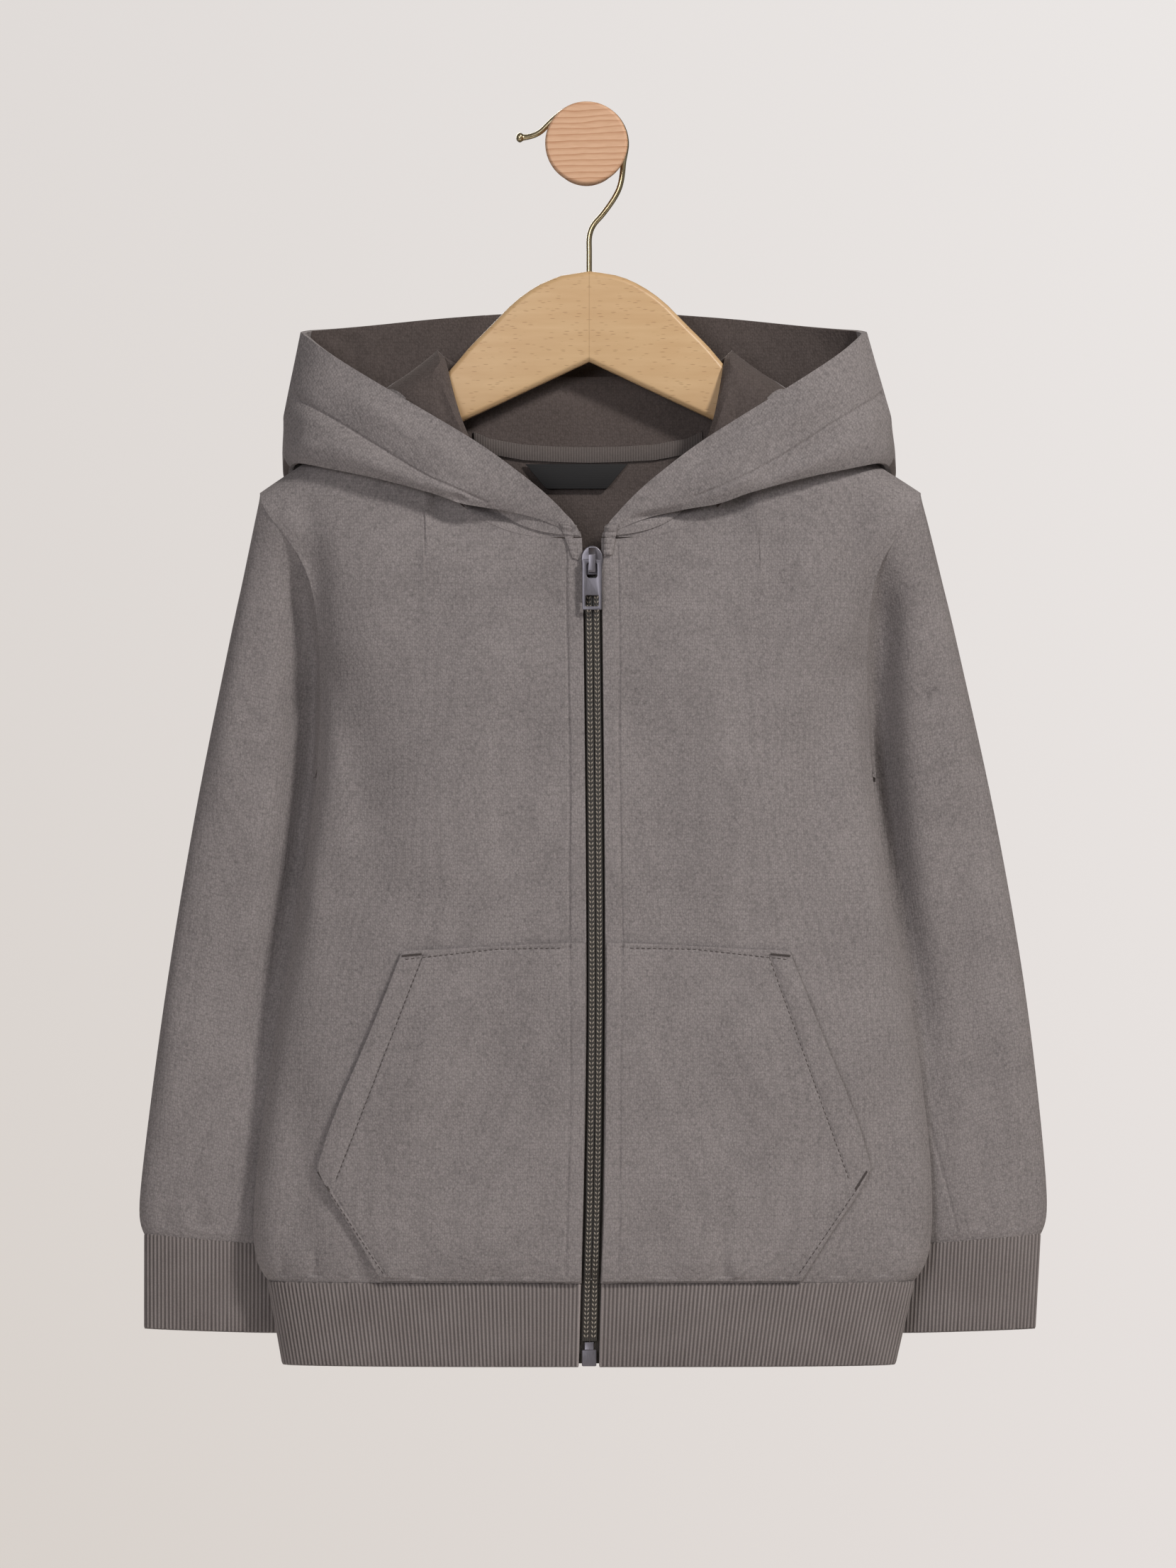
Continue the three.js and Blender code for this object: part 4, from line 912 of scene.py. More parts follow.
def halved_beside(bm: bmesh.types.BMesh, crease: Crease, ground: Ground) -> None:
    """Makes the faces of the outer wall finer beside a narrow crease.

    Args:
        bm: The mesh.
        crease: The crease.
        ground: The surfaces.
    """
    for step in range(crease.cuts or int(crease.width < 5)):
        edges = list(bm.edges)
        middles = np.array([((e.verts[0].co + e.verts[1].co) / 2)[:] for e in edges])
        reach = (2.2 * crease.width + 2.5 / (step + 1)) * MM
        found, aside, _, behind = crease.near(middles, ground, reach)
        close = found[(abs(aside) < reach) & (abs(behind) < 1.6 * MM)]
        bmesh.ops.subdivide_edges(bm, edges=[edges[i] for i in close], cuts=1, use_grid_fill=True)


def creased(bm: bmesh.types.BMesh, creases: list[Crease], ground: Ground) -> None:
    """Shapes cloth with its creases.

    Args:
        bm: The cloth's mesh.
        creases: The creases.
        ground: The surfaces that they are laid on.
    """
    for crease in creases:
        halved_beside(bm, crease, ground)
    places = np.array([v.co[:] for v in bm.verts])
    moved = sum((c.shift(places, ground) for c in creases), np.zeros(len(places)))
    for vert, by in zip(bm.verts, moved):
        vert.co.y += by


def finished(
    bm: bmesh.types.BMesh,
    name: str,
    finish: Finish,
    body: str = GARMENT,
    sharp: float = 180.0,
    inside: Finish | None = None,
) -> bpy.types.Object:
    """Makes a mesh into a piece of the object.

    Args:
        bm: The mesh, which is freed.
        name: The piece's name.
        finish: Its finish.
        body: The CAD body that it rides on.
        sharp: The angle above which an edge is drawn sharp, in degrees.
        inside: The finish of its inner wall, where that differs: a darker fleece that is painted shade.

    Returns:
        The piece.
    """
    for face in bm.faces:
        face.smooth = True
    for edge in sharp_edges(bm, sharp) if sharp < 180 else []:
        edge.smooth = False
    mesh = bpy.data.meshes.new(name)
    bm.to_mesh(mesh)
    bm.free()
    mesh.materials.append(finish.material())
    if inside:
        mesh.materials.append(inside.material())
    piece = bpy.data.objects.new(name, mesh)
    bpy.context.scene.collection.objects.link(piece)
    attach(piece, body)
    mesh.calc_loop_triangles()
    log.info("%s: %d triangles", name, len(mesh.loop_triangles))
    return piece


@dataclass
class Cloth:
    """One sewn piece of cloth, made over its CAD node.

    flat is the width and length that it was cut to, in metres, and area the cut's own area in
    square metres; neither is used. edge is how far its cut edge is rounded, in millimetres.
    """

    node: str
    name: str
    finish: Finish
    flat: tuple[float, float]
    area: float
    held: str = "hung"
    rests_on: tuple[str, ...] = ("hanger_yoke",)
    levels: int = 2
    edge: float = 0.55
    lap: float = 0.35
    # inside is a darker fleece, painted shade, for forward-facing faces behind inside_behind and above
    # inside_above.
    inside: Finish | None = None
    inside_behind: tuple[Point, ...] = ((117, -72.8), (121, -42))
    inside_above: float = -203.0

    def build(self, creases: list[Crease], ground: Ground) -> bpy.types.Object:
        """Makes the piece.

        Args:
            creases: The creases that it shares with its neighbours.
            ground: The surfaces.

        Returns:
            The piece.
        """
        bm = copy_of(self.node)
        if self.inside:
            shade_deep_inside(bm, self.inside_behind, self.inside_above)
        lapped(bm, self.lap)
        rounded(bm, 40.0, self.edge)
        bm = subdivided(bm, self.levels)
        creased(bm, creases, ground)
        piece = finished(bm, self.name, self.finish, inside=self.inside)
        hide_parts(self.node)
        return piece


@dataclass
class Rib(Cloth):
    """A band of rib knit. Its ribs are in the CAD node, and are rounded here.

    keep is how much of a rib's height the rounding leaves, from 0 to 1.
    """

    keep: float = 0.75

    def build(self, creases: list[Crease], ground: Ground) -> bpy.types.Object:
        """Makes the band, with its cut edges kept crisp.

        Args:
            creases: The creases that it shares with its neighbours.
            ground: The surfaces.

        Returns:
            The band.
        """
        bm = copy_of(self.node)
        crease = bm.edges.layers.float.new("crease_edge")
        # The hollows between the ribs are marked here for painted shade.
        valley_shade = bm.verts.layers.float.new("valley_shade")
        for edge in bm.edges:
            along = edge.verts[1].co - edge.verts[0].co
            if any(abs(f.normal.z) > 0.7 for f in edge.link_faces):
                edge[crease] = 0.8
            elif abs(along.z) > 0.8 * along.length:
                edge[crease] = self.keep
                if not edge.is_convex and edge.calc_face_angle(0) > math.radians(20):
                    for vert in edge.verts:
                        vert[valley_shade] = 1.0
        bm = subdivided(bm, self.levels)
        creased(bm, creases, ground)
        piece = finished(bm, self.name, self.finish)
        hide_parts(self.node)
        return piece


@dataclass
class Hoodie:
    """The garment's cloth: its body, sleeves, hood, pockets and ribs, with their creases."""

    cloth_mm: float = 2.0
    strip: float = 8.9
    strip_groove: float = -0.75

    left_armhole: list[Crease] = field(
        default_factory=lambda: [
            # the seam, where the body's edge rolls back
            Crease(
                (
                    (-181, -218), (-167, -231), (-156, -249), (-153.5, -271), (-155, -312), (-156,
                    -358), (-163, -420),
                ),
                -3.4, 7, skew=0.3, fade=(0.2, 0.5), reach=14,
            ),
        ]
    )
    right_armhole: list[Crease] = field(
        default_factory=lambda: [
            Crease(
                ((179, -221), (169, -237), (162.5, -262), (161.5, -300), (163, -358), (171, -420)),
                -3.6, 6.5, skew=-0.3, fade=(0.2, 0.5), reach=14,
            ),
        ]
    )
    left_front: list[Crease] = field(
        default_factory=lambda: [
            # broad lie of the chest and of the skirt over the pocket
            Crease(((-60, -240), (-92, -440)), 2.4, 26, bow=8),
            Crease(((-150, -292), (-118, -470)), -3.6, 15, skew=0.3, bow=6, fade=(0.1, 0.6)),
            Crease(((-160, -330), (-150, -520)), 2.7, 13, skew=-0.2, bow=-5, fade=(0.2, 0.5)),
            Crease(((-112, -205), (-140, -330)), 2.2, 17, bow=5, fade=(0.5, 0.4)),
            Crease(((-167, -190), (-159, -222), (-150, -262)), -3.0, 8, fade=(0.4, 0.4)),
            Crease(((-40, -300), (-34, -450)), -1.4, 17, bow=-4),
            # the skirt and the pocket
            Crease(((-40, -478), (-96, -612)), -2.2, 14, skew=0.25, bow=6),
            Crease(((-74, -470), (-122, -590)), 1.8, 13, bow=5),
            Crease(((-26, -560), (-60, -652)), 1.5, 15, bow=-4, fade=(0.5, 0.1)),
            Crease(((-172, -505), (-166, -648)), -3, 11, bow=4, fade=(0.5, 0.25)),
            # short gathers above the hem seam
            Crease(((-156, -622), (-157, -653)), -1.7, 3.4, skew=0.3, fade=(0.8, 0.05)),
            Crease(((-133, -634), (-131, -653)), -0.9, 3.0, fade=(0.9, 0.05)),
            Crease(((-112, -638), (-113, -653)), 1, 4.0, fade=(0.9, 0.05)),
            Crease(((-91, -628), (-95, -653)), -1.3, 4.2, skew=-0.3, fade=(0.8, 0.05)),
            Crease(((-55, -632), (-51, -653)), -1.1, 3.8, fade=(0.9, 0.05)),
            Crease(((-30, -638), (-31, -653)), -0.8, 3.2, fade=(0.9, 0.05)),
            Crease(((-176, -630), (-175, -653)), -1.2, 3.6, fade=(0.8, 0.05)),
        ]
    )
    right_front: list[Crease] = field(
        default_factory=lambda: [
            Crease(((66, -238), (96, -450)), 2.2, 27, bow=-7),
            Crease(((156, -286), (128, -452)), -3.9, 14, skew=-0.3, bow=-7, fade=(0.1, 0.6)),
            Crease(((165, -330), (158, -500)), 2.8, 12, skew=0.2, bow=5, fade=(0.2, 0.5)),
            Crease(((122, -200), (148, -320)), 2.4, 16, bow=-5, fade=(0.5, 0.4)),
            Crease(((160, -186), (154, -222), (150, -270)), -2.4, 8, fade=(0.4, 0.4)),
            Crease(((48, -310), (42, -448)), -1.4, 16, bow=5),
            Crease(((52, -480), (106, -600)), -2.1, 15, skew=-0.25, bow=-6),
            Crease(((84, -472), (130, -585)), 1.7, 12, bow=-5),
            Crease(((36, -560), (66, -652)), 1.4, 14, bow=4, fade=(0.5, 0.1)),
            Crease(((178, -500), (172, -646)), -2.8, 12, bow=-4, fade=(0.5, 0.25)),
            Crease(((46, -624), (45, -653)), -1.2, 3.6, skew=0.3, fade=(0.8, 0.05)),
            Crease(((77.5, -622), (80, -653)), -1.6, 3.6, skew=-0.3, fade=(0.8, 0.05)),
            Crease(((84, -634), (87, -653)), 0.9, 3.2, fade=(0.9, 0.05)),
            Crease(((113, -636), (112, -653)), -1, 3.4, fade=(0.9, 0.05)),
            Crease(((146, -630), (144, -653)), -1.1, 3.2, fade=(0.8, 0.05)),
            Crease(((167, -620), (169, -653)), -1.8, 3.8, skew=0.3, fade=(0.8, 0.05)),
        ]
    )
    back_creases: list[Crease] = field(
        default_factory=lambda: [
            Crease(((-30, -350), (-46, -600)), 2.5, 25, bow=8, face=Face.BACK),
            Crease(((34, -360), (60, -590)), 2.2, 27, bow=-9, face=Face.BACK),
            Crease(((4, -380), (2, -560)), -2.1, 17, bow=5, face=Face.BACK),
            Crease(
                ((-150, -290), (-96, -480)),
                -3.9, 14, skew=0.3, bow=8, fade=(0.1, 0.6), face=Face.BACK,
            ),
            Crease(
                ((153, -285), (104, -460)),
                -3.6, 15, skew=-0.3, bow=-7, fade=(0.1, 0.6), face=Face.BACK,
            ),
            Crease(((-124, -215), (-134, -300)), 2.5, 13, bow=4, face=Face.BACK),
            Crease(((120, -218), (136, -304)), 2.7, 12, bow=-4, face=Face.BACK),
            Crease(((-152, -420), (-140, -560)), 2.4, 15, bow=-4, face=Face.BACK),
            Crease(((150, -400), (146, -570)), 2.2, 14, bow=5, face=Face.BACK),
            Crease(((-140, -618), (-142, -653)), -1.6, 3.8, fade=(0.8, 0.05), face=Face.BACK),
            Crease(((-96, -628), (-94, -653)), -1.3, 3.4, fade=(0.8, 0.05), face=Face.BACK),
            Crease(((-61, -622), (-60, -653)), -1.5, 4.0, fade=(0.8, 0.05), face=Face.BACK),
            Crease(((-18, -632), (-19, -653)), -1.1, 3.4, fade=(0.8, 0.05), face=Face.BACK),
            Crease(((23, -626), (21, -653)), -1.4, 3.8, fade=(0.8, 0.05), face=Face.BACK),
            Crease(((64, -634), (66, -653)), -1.1, 3.2, fade=(0.8, 0.05), face=Face.BACK),
            Crease(((102, -620), (104, -653)), -1.6, 4.0, fade=(0.8, 0.05), face=Face.BACK),
            Crease(((149, -628), (147, -653)), -1.3, 3.6, fade=(0.8, 0.05), face=Face.BACK),
        ]
    )
    left_sleeve: list[Crease] = field(
        default_factory=lambda: [
            # the hollow beside the body
            Crease(
                (
                    (-180, -222), (-165, -246), (-158, -300), (-161, -365), (-167, -415), (-175, -460),
                    (-184, -505), (-190, -545), (-194, -600),
                ),
                -15, 9.5, skew=-0.4, reach=14, fade=(0.14, 0.5),
            ),
            Crease(((-190, -222), (-212, -420)), 2.7, 10, bow=-5, reach=10),
            Crease(((-172, -262), (-176, -440)), -3.3, 9, bow=4, reach=10, fade=(0.2, 0.5)),
            Crease(((-204, -380), (-222, -590)), -2.2, 12, bow=5, reach=10),
            Crease(((-236, -440), (-240, -600)), 1.8, 9, bow=-3, reach=10),
            Crease(((-226, -600), (-222, -626)), -1.3, 4.0, reach=10, fade=(0.8, 0.05)),
            Crease(((-244, -606), (-243, -626)), -1, 3.4, reach=10, fade=(0.8, 0.05)),
            Crease(((-197, -586), (-210.5, -628)), -0.7, 0.8, reach=6, fade=(0.02, 0.02), cuts=2),
            Crease(((-203, -586), (-216.5, -628)), -0.45, 0.7, reach=6, fade=(0.02, 0.02), cuts=2),
            Crease(((-196, -260), (-222, -480)), -2.7, 11, bow=5, reach=10, face=Face.BACK),
            Crease(((-214, -400), (-236, -590)), 2.4, 11, bow=-4, reach=10, face=Face.BACK),
            Crease(((-190, -470), (-204, -600)), -2.5, 9, bow=4, reach=10, face=Face.BACK),
            Crease(((-222, -602), (-220, -626)), -1.2, 4.0, reach=10, fade=(0.8, 0.05), face=Face.BACK),
            Crease(((-202, -606), (-203, -628)), -1, 3.6, reach=10, fade=(0.8, 0.05), face=Face.BACK),
        ]
    )
    right_sleeve: list[Crease] = field(
        default_factory=lambda: [
            Crease(
                (
                    (180, -226), (171, -246), (166, -300), (168, -365), (175, -415), (184, -460),
                    (193, -505), (199, -545), (204, -600),
                ),
                -15, 9, skew=0.4, reach=14, fade=(0.14, 0.55),
            ),
            Crease(((196, -226), (216, -410)), 2.5, 11, bow=5, reach=10),
            Crease(((176, -250), (182, -440)), -3.6, 9, bow=-4, reach=10, fade=(0.2, 0.5)),
            Crease(((212, -370), (232, -580)), -2.4, 12, bow=-6, reach=10),
            Crease(((240, -430), (248, -598)), 1.8, 9, bow=3, reach=10),
            Crease(((232, -602), (228, -627)), -1.2, 4.0, reach=10, fade=(0.8, 0.05)),
            Crease(((250, -608), (249, -627)), -1, 3.2, reach=10, fade=(0.8, 0.05)),
            Crease(((198.7, -566), (214.6, -629)), -0.7, 0.8, reach=6, fade=(0.02, 0.02), cuts=2),
            Crease(((204.7, -566), (220.6, -629)), -0.45, 0.7, reach=6, fade=(0.02, 0.02), cuts=2),
            Crease(((202, -270), (226, -470)), -2.7, 12, bow=-5, reach=10, face=Face.BACK),
            Crease(((220, -410), (240, -580)), 2.2, 10, bow=4, reach=10, face=Face.BACK),
            Crease(((192, -460), (208, -596)), -2.4, 10, bow=-4, reach=10, face=Face.BACK),
            Crease(((230, -600), (228, -626)), -1.3, 3.8, reach=10, fade=(0.8, 0.05), face=Face.BACK),
        ]
    )
    hood_creases: list[Crease] = field(
        default_factory=lambda: [
            # seam of the turned hem, on the left and on the right
            Crease(
                (
                    (-171, -143), (-165, -148), (-137, -164.5), (-111, -181), (-91, -193), (-72,
                    -201), (-54, -209),
                ),
                -0.8, 0.9, reach=6, fade=(0.01, 0.08), cuts=2,
            ),
            Crease(
                ((174, -141), (166, -147), (140, -163), (114, -180), (94, -191), (76, -199), (58, -206)),
                -0.8, 0.9, reach=6, fade=(0.01, 0.08), cuts=2,
            ),
            # the roll of the turned hem, the hollow at its seam and the roll below it
            Crease(
                ((-163, -126), (-137, -146), (-110, -161), (-85, -175), (-60, -193), (-36, -209)),
                2.6, 8, reach=8,
            ),
            Crease(
                ((-171, -146), (-137, -164.5), (-111, -181), (-72, -202)),
                -1.6, 4, reach=8, fade=(0.05, 0.2),
            ),
            Crease(
                ((-170, -168), (-145, -176), (-118, -187), (-96, -195)),
                2.2, 6, reach=8, fade=(0.1, 0.4),
            ),
            Crease(
                ((164, -124), (140, -143), (112, -161), (86, -178), (60, -195), (36, -210)),
                2.6, 8, reach=8,
            ),
            Crease(
                ((174, -143), (151, -160), (131, -174.5), (93, -199)),
                -1.6, 4, reach=8, fade=(0.05, 0.2),
            ),
            Crease(
                ((172, -164), (150, -175), (122, -188), (100, -197)),
                2.2, 6, reach=8, fade=(0.1, 0.4),
            ),
            # the deep pleats where the hood is sewn in
            Crease(((-84, -202), (-62, -209), (-44, -216), (-35, -221)), -3.2, 2.4, reach=6, cuts=2),
            Crease(((20, -218), (45, -214), (70, -207.5)), -3.0, 2.3, reach=6, cuts=2),
            # the fold's soft lie, pulled towards the neck
            Crease(((-168, -158), (-128, -172)), 1.3, 5.5, bow=2, reach=8, fade=(0.2, 0.7)),
            Crease(((-172, -168), (-140, -178)), -1.4, 3.6, bow=1.5, reach=8, fade=(0.1, 0.7)),
            Crease(((-96, -192), (-62, -211)), 1.2, 4.0, reach=8),
            Crease(((-90, -160), (-50, -190)), -1.5, 9, bow=-3, reach=8),
            Crease(((-140, -140), (-96, -168)), 1.5, 9, bow=-3, reach=8),
            Crease(((169, -156), (130, -171)), 1.2, 5.5, bow=-2, reach=8, fade=(0.2, 0.7)),
            Crease(((174, -166), (142, -176)), -1.3, 3.8, bow=-1.5, reach=8, fade=(0.1, 0.7)),
            Crease(((100, -189), (66, -208)), 1.1, 4.2, reach=8),
            Crease(((92, -158), (54, -187)), -1.5, 9, bow=3, reach=8),
            Crease(((144, -138), (102, -166)), 1.5, 9, bow=3, reach=8),
            # soft pleats of the inner fold and of the back of the hood
            Crease(((-88, -136), (-80, -168)), -1.3, 3.6, bow=2, reach=5),
            Crease(((-97, -134), (-100, -152)), 1, 3.6, reach=5),
            Crease(((-74, -140), (-72, -172)), 0.9, 3.4, reach=5),
            Crease(((92, -134), (84, -170)), -1.4, 3.8, bow=-2, reach=5),
            Crease(((104, -134), (106, -156)), 1, 3.8, reach=5),
            Crease(((80, -140), (76, -174)), 0.9, 3.4, reach=5),
            Crease(((-136, -108), (-134, -132)), -1.8, 4.6, reach=8, fade=(0.2, 0.4)),
            Crease(((-148, -112), (-147, -128)), 1.4, 4.4, reach=8, fade=(0.2, 0.4)),
            Crease(((-113, -106), (-110, -140)), -1.7, 7.0, reach=8, fade=(0.2, 0.4)),
            Crease(((138, -106), (136, -134)), -1.7, 5.0, reach=8, fade=(0.2, 0.4)),
            Crease(((112, -104), (108, -138)), -1.2, 6.5, reach=8, fade=(0.2, 0.4)),
            Crease(((84, -102), (80, -128)), 1, 6.0, reach=8, fade=(0.2, 0.4)),
            # the bag of the hood behind
            Crease(((-120, -150), (-96, -250)), -3.9, 11, skew=0.3, bow=6, reach=12, face=Face.BACK),
            Crease(((-88, -170), (-58, -300)), 3, 12, bow=5, reach=12, face=Face.BACK),
            Crease(((-40, -180), (-30, -320)), -2.7, 11, bow=4, reach=12, face=Face.BACK),
            Crease(((6, -140), (2, -310)), 2.2, 16, bow=-5, reach=12, face=Face.BACK),
            Crease(((46, -190), (34, -318)), -2.8, 10, bow=-4, reach=12, face=Face.BACK),
            Crease(((92, -165), (66, -292)), 3.2, 12, bow=-6, reach=12, face=Face.BACK),
            Crease(((124, -150), (104, -246)), -3.6, 11, skew=-0.3, bow=-6, reach=12, face=Face.BACK),
            Crease(((-146, -140), (-140, -200)), -2.4, 8, reach=12, face=Face.BACK),
            Crease(((150, -138), (144, -196)), -2.5, 8, reach=12, face=Face.BACK),
        ]
    )
    left_pocket_seams: list[Crease] = field(
        default_factory=lambda: [
            Crease(((-94.1, -466.5), (-144.5, -598)), -0.55, 0.8, reach=3, fade=(0.01, 0.01), cuts=2),
            Crease(((-100, -468), (-149, -592)), 0.35, 3.6, reach=3, fade=(0.05, 0.05)),
            Crease(
                ((-105, -469.5), (-52, -463.6), (-8, -463)),
                -0.4, 0.7, reach=3, fade=(0.01, 0.01), cuts=2,
            ),
            Crease(((-149.5, -597.5), (-114.5, -652)), -0.4, 0.7, reach=3, fade=(0.01, 0.01), cuts=2),
        ]
    )
    right_pocket_seams: list[Crease] = field(
        default_factory=lambda: [
            Crease(((104.5, -466.5), (151.5, -597.5)), -0.55, 0.8, reach=3, fade=(0.01, 0.01), cuts=2),
            Crease(((110.5, -468), (156, -592)), 0.35, 3.6, reach=3, fade=(0.05, 0.05)),
            Crease(
                ((116, -469.5), (62, -463.6), (18, -463)),
                -0.4, 0.7, reach=3, fade=(0.01, 0.01), cuts=2,
            ),
            Crease(((156.5, -597), (119.5, -652)), -0.4, 0.7, reach=3, fade=(0.01, 0.01), cuts=2),
        ]
    )

    def strip_seam(self, side: Side, top: float) -> list[Crease]:
        """Gives the seam of the turned edge beside the zip, and its slight waviness.

        Args:
            side: The side of the zip.
            top: Where the seam starts, in millimetres.

        Returns:
            The creases.
        """
        heights = np.linspace(top, -654, 12)
        wander = (0, 0.4, 0.1, -0.4, -0.2, 0.3, 0.5, 0.0, -0.5, -0.2, 0.4, 0.2)
        away = 5.8 + self.strip
        points = tuple((zip_line(z) + side.value * (away + w), z) for z, w in zip(heights, wander))
        made = [Crease(points, self.strip_groove, 0.9, reach=3.5, fade=(0.01, 0.01), cuts=2)]
        for k, z in enumerate((-262, -318, -391, -447, -520, -588, -629)):
            x = zip_line(z) + side.value * (away + 4.5)
            rise = (-0.7, -0.5, -0.8, -0.5, -0.6, -0.45, -0.8)[k]
            ends = ((x - side.value * 4, z + 2), (x + side.value * 9, z - 3))
            made.append(Crease(ends, rise, 3.4, reach=6))
        return made

    def build(self, ground: Ground) -> dict[str, bpy.types.Object]:
        """Makes every piece of cloth.

        Args:
            ground: The surfaces.

        Returns:
            The pieces by name.
        """
        left = self.left_front + self.left_armhole + self.strip_seam(Side.LEFT, -229)
        right = self.right_front + self.right_armhole + self.strip_seam(Side.RIGHT, -229)
        left_pocket = left + self.left_pocket_seams
        right_pocket = right + self.right_pocket_seams
        pieces = [
            (Cloth("front_left", "left_front", BODY_FLEECE, (0.2, 0.47), 0.084), left),
            (Cloth("front_right", "right_front", BODY_FLEECE, (0.2, 0.47), 0.084), right),
            # The back's inner wall that faces forward gets painted shade.
            (
                Cloth(
                    "back", "back_panel", BODY_FLEECE, (0.4, 0.5), 0.17,
                    inside=INSIDE_PAINTED_SHADE_FLEECE, inside_behind=((0, -90),), inside_above=-600,
                ),
                self.back_creases,
            ),
            (
                Cloth("sleeve_left", "left_sleeve", LEFT_SLEEVE_FLEECE, (0.2, 0.43), 0.0715, lap=1.5),
                self.left_sleeve + self.left_armhole,
            ),
            (
                Cloth("sleeve_right", "right_sleeve", RIGHT_SLEEVE_FLEECE, (0.2, 0.43), 0.0715, lap=1.5),
                self.right_sleeve + self.right_armhole,
            ),
            # The hood's inner walls deep behind the hanger get painted shade.
            (
                Cloth(
                    "hood_side_left", "hood_left", LEFT_HOOD_FLEECE, (0.25, 0.4), 0.066,
                    "folded", lap=2.0, inside=INSIDE_PAINTED_SHADE_FLEECE,
                ),
                self.hood_creases,
            ),
            (
                Cloth(
                    "hood_side_right", "hood_right", RIGHT_HOOD_FLEECE, (0.25, 0.4), 0.066,
                    "folded", lap=2.0, inside=INSIDE_PAINTED_SHADE_FLEECE,
                ),
                self.hood_creases,
            ),
            (
                Cloth(
                    "hood_middle", "hood_back", BODY_FLEECE, (0.12, 0.56), 0.066,
                    "folded", lap=2.0, inside=INSIDE_PAINTED_SHADE_FLEECE,
                ),
                self.hood_creases,
            ),
            (Cloth("pocket_left", "left_pocket", BODY_FLEECE, (0.155, 0.2), 0.025, lap=0.0), left_pocket),
            (
                Cloth("pocket_right", "right_pocket", BODY_FLEECE, (0.155, 0.2), 0.025, lap=0.0),
                right_pocket,
            ),
            (Rib("hem_rib", "hem_band", RIB, (0.72, 0.05), 0.034), []),
            (Rib("cuff_left", "left_cuff", RIB, (0.165, 0.058), 0.0093), []),
            (Rib("cuff_right", "right_cuff", RIB, (0.165, 0.058), 0.0093), []),
        ]
        return {cloth.name: cloth.build(creases, ground) for cloth, creases in pieces}


def zip_line(z: float) -> float:
    """Gives the place of the zip line at a height, both in millimetres."""
    heights = (-704, -655, -600, -480, -300, -229, -110)
    return float(np.interp(z, heights, (1.4, 2.7, 4.2, 5.4, 4.0, 3.0, -1.5)))


@dataclass
class Needlework:
    """Rows of stitches that lie on the finished cloth. Sizes are in millimetres."""

    length: float = 2.5
    gap: float = 0.7
    thread: float = 0.3
    sink: float = 0.05

    rows: list[tuple[Point, ...]] = field(
        default_factory=lambda: [
            ((-94.1, -468.5), (-143.8, -596.5)),
            ((104.8, -468.5), (150.8, -596.5)),
            ((-104, -469.8), (-52, -463.9), (-14, -463.2)),
            ((115, -469.8), (62, -463.9), (24, -463.2)),
            ((-150.5, -599), (-116, -651)),
            ((157.5, -598.5), (121.5, -651)),
        ]
    )
    tacks: list[tuple[Point, Point]] = field(
        default_factory=lambda: [
            ((-106, -467.8), (-94.5, -466.6)),
            ((117, -467.8), (105.5, -466.6)),
            ((-154.4, -592), (-147.6, -602.6)),
            ((161.2, -591.5), (154.4, -602)),
        ]
    )

    def stitch(self, bm: bmesh.types.BMesh, start: Vector, end: Vector, thick: float) -> None:
        """Adds one stitch.

        Args:
            bm: The mesh that it goes into.
            start: Its first end, in metres.
            end: Its other end.
            thick: Half its thickness, in metres.
        """
        along = end - start
        turn = along.to_track_quat("X", "Z").to_matrix().to_4x4()
        size = Matrix.Diagonal((along.length / 2, thick, thick, 1.0))
        place = Matrix.Translation((start + end) / 2) @ turn @ size
        bmesh.ops.create_uvsphere(bm, u_segments=5, v_segments=4, radius=1.0, matrix=place)

    def row(
        self,
        bm: bmesh.types.BMesh,
        ground: Ground,
        points: tuple[Point, ...],
        length: float,
        gap: float,
    ) -> None:
        """Adds a row of stitches.

        Args:
            bm: The mesh that they go into.
            ground: The finished cloth.
            points: The row's line.
            length: The length of a stitch.
            gap: The gap between two.
        """
        corners = np.array(points, float)
        total = np.linalg.norm(np.diff(corners, axis=0), axis=1).sum()
        count = max(1, int(total / (length + gap)))
        marks = resampled(corners, count * 8 + 1) * MM
        cut = int(round(8 * length / (length + gap)))
        for k in range(count):
            ends = []
            for x, z in (marks[8 * k], marks[8 * k + cut]):
                y = ground.depth(x, z, Face.FRONT)
                if y is not None:
                    ends.append(Vector((x, y - (self.thread / 2 - self.sink) * MM, z)))
            if len(ends) == 2:
                self.stitch(bm, ends[0], ends[1], self.thread * MM)

    def tack(self, bm: bmesh.types.BMesh, ground: Ground, start: Point, end: Point) -> None:
        """Adds a bar tack: close stitches across a short line.

        Args:
            bm: The mesh that it goes into.
            ground: The finished cloth.
            start: Its first end.
            end: Its other end.
        """
        a, b = np.array(start, float), np.array(end, float)
        along = (b - a) / np.linalg.norm(b - a)
        aside = np.array([-along[1], along[0]])
        count = int(np.linalg.norm(b - a) / 0.55)
        for k in range(count):
            middle = a + (b - a) * (k + 0.5) / count
            ends = []
            reach = 0.85 * aside + 0.2 * along
            for x, z in ((middle - reach) * MM, (middle + reach) * MM):
                y = ground.depth(x, z, Face.FRONT)
                if y is not None:
                    ends.append(Vector((x, y - 0.15 * MM, z)))
            if len(ends) == 2:
                self.stitch(bm, ends[0], ends[1], 0.28 * MM)

    def build(self, ground: Ground) -> bpy.types.Object:
        """Sews every row and tack.

        Args:
            ground: The finished cloth.

        Returns:
            The stitches as one piece.
        """
        bm = bmesh.new()
        for points in self.rows:
            self.row(bm, ground, points, self.length, self.gap)
        for start, end in self.tacks:
            self.tack(bm, ground, start, end)
        return finished(bm, "topstitching", SEWING)


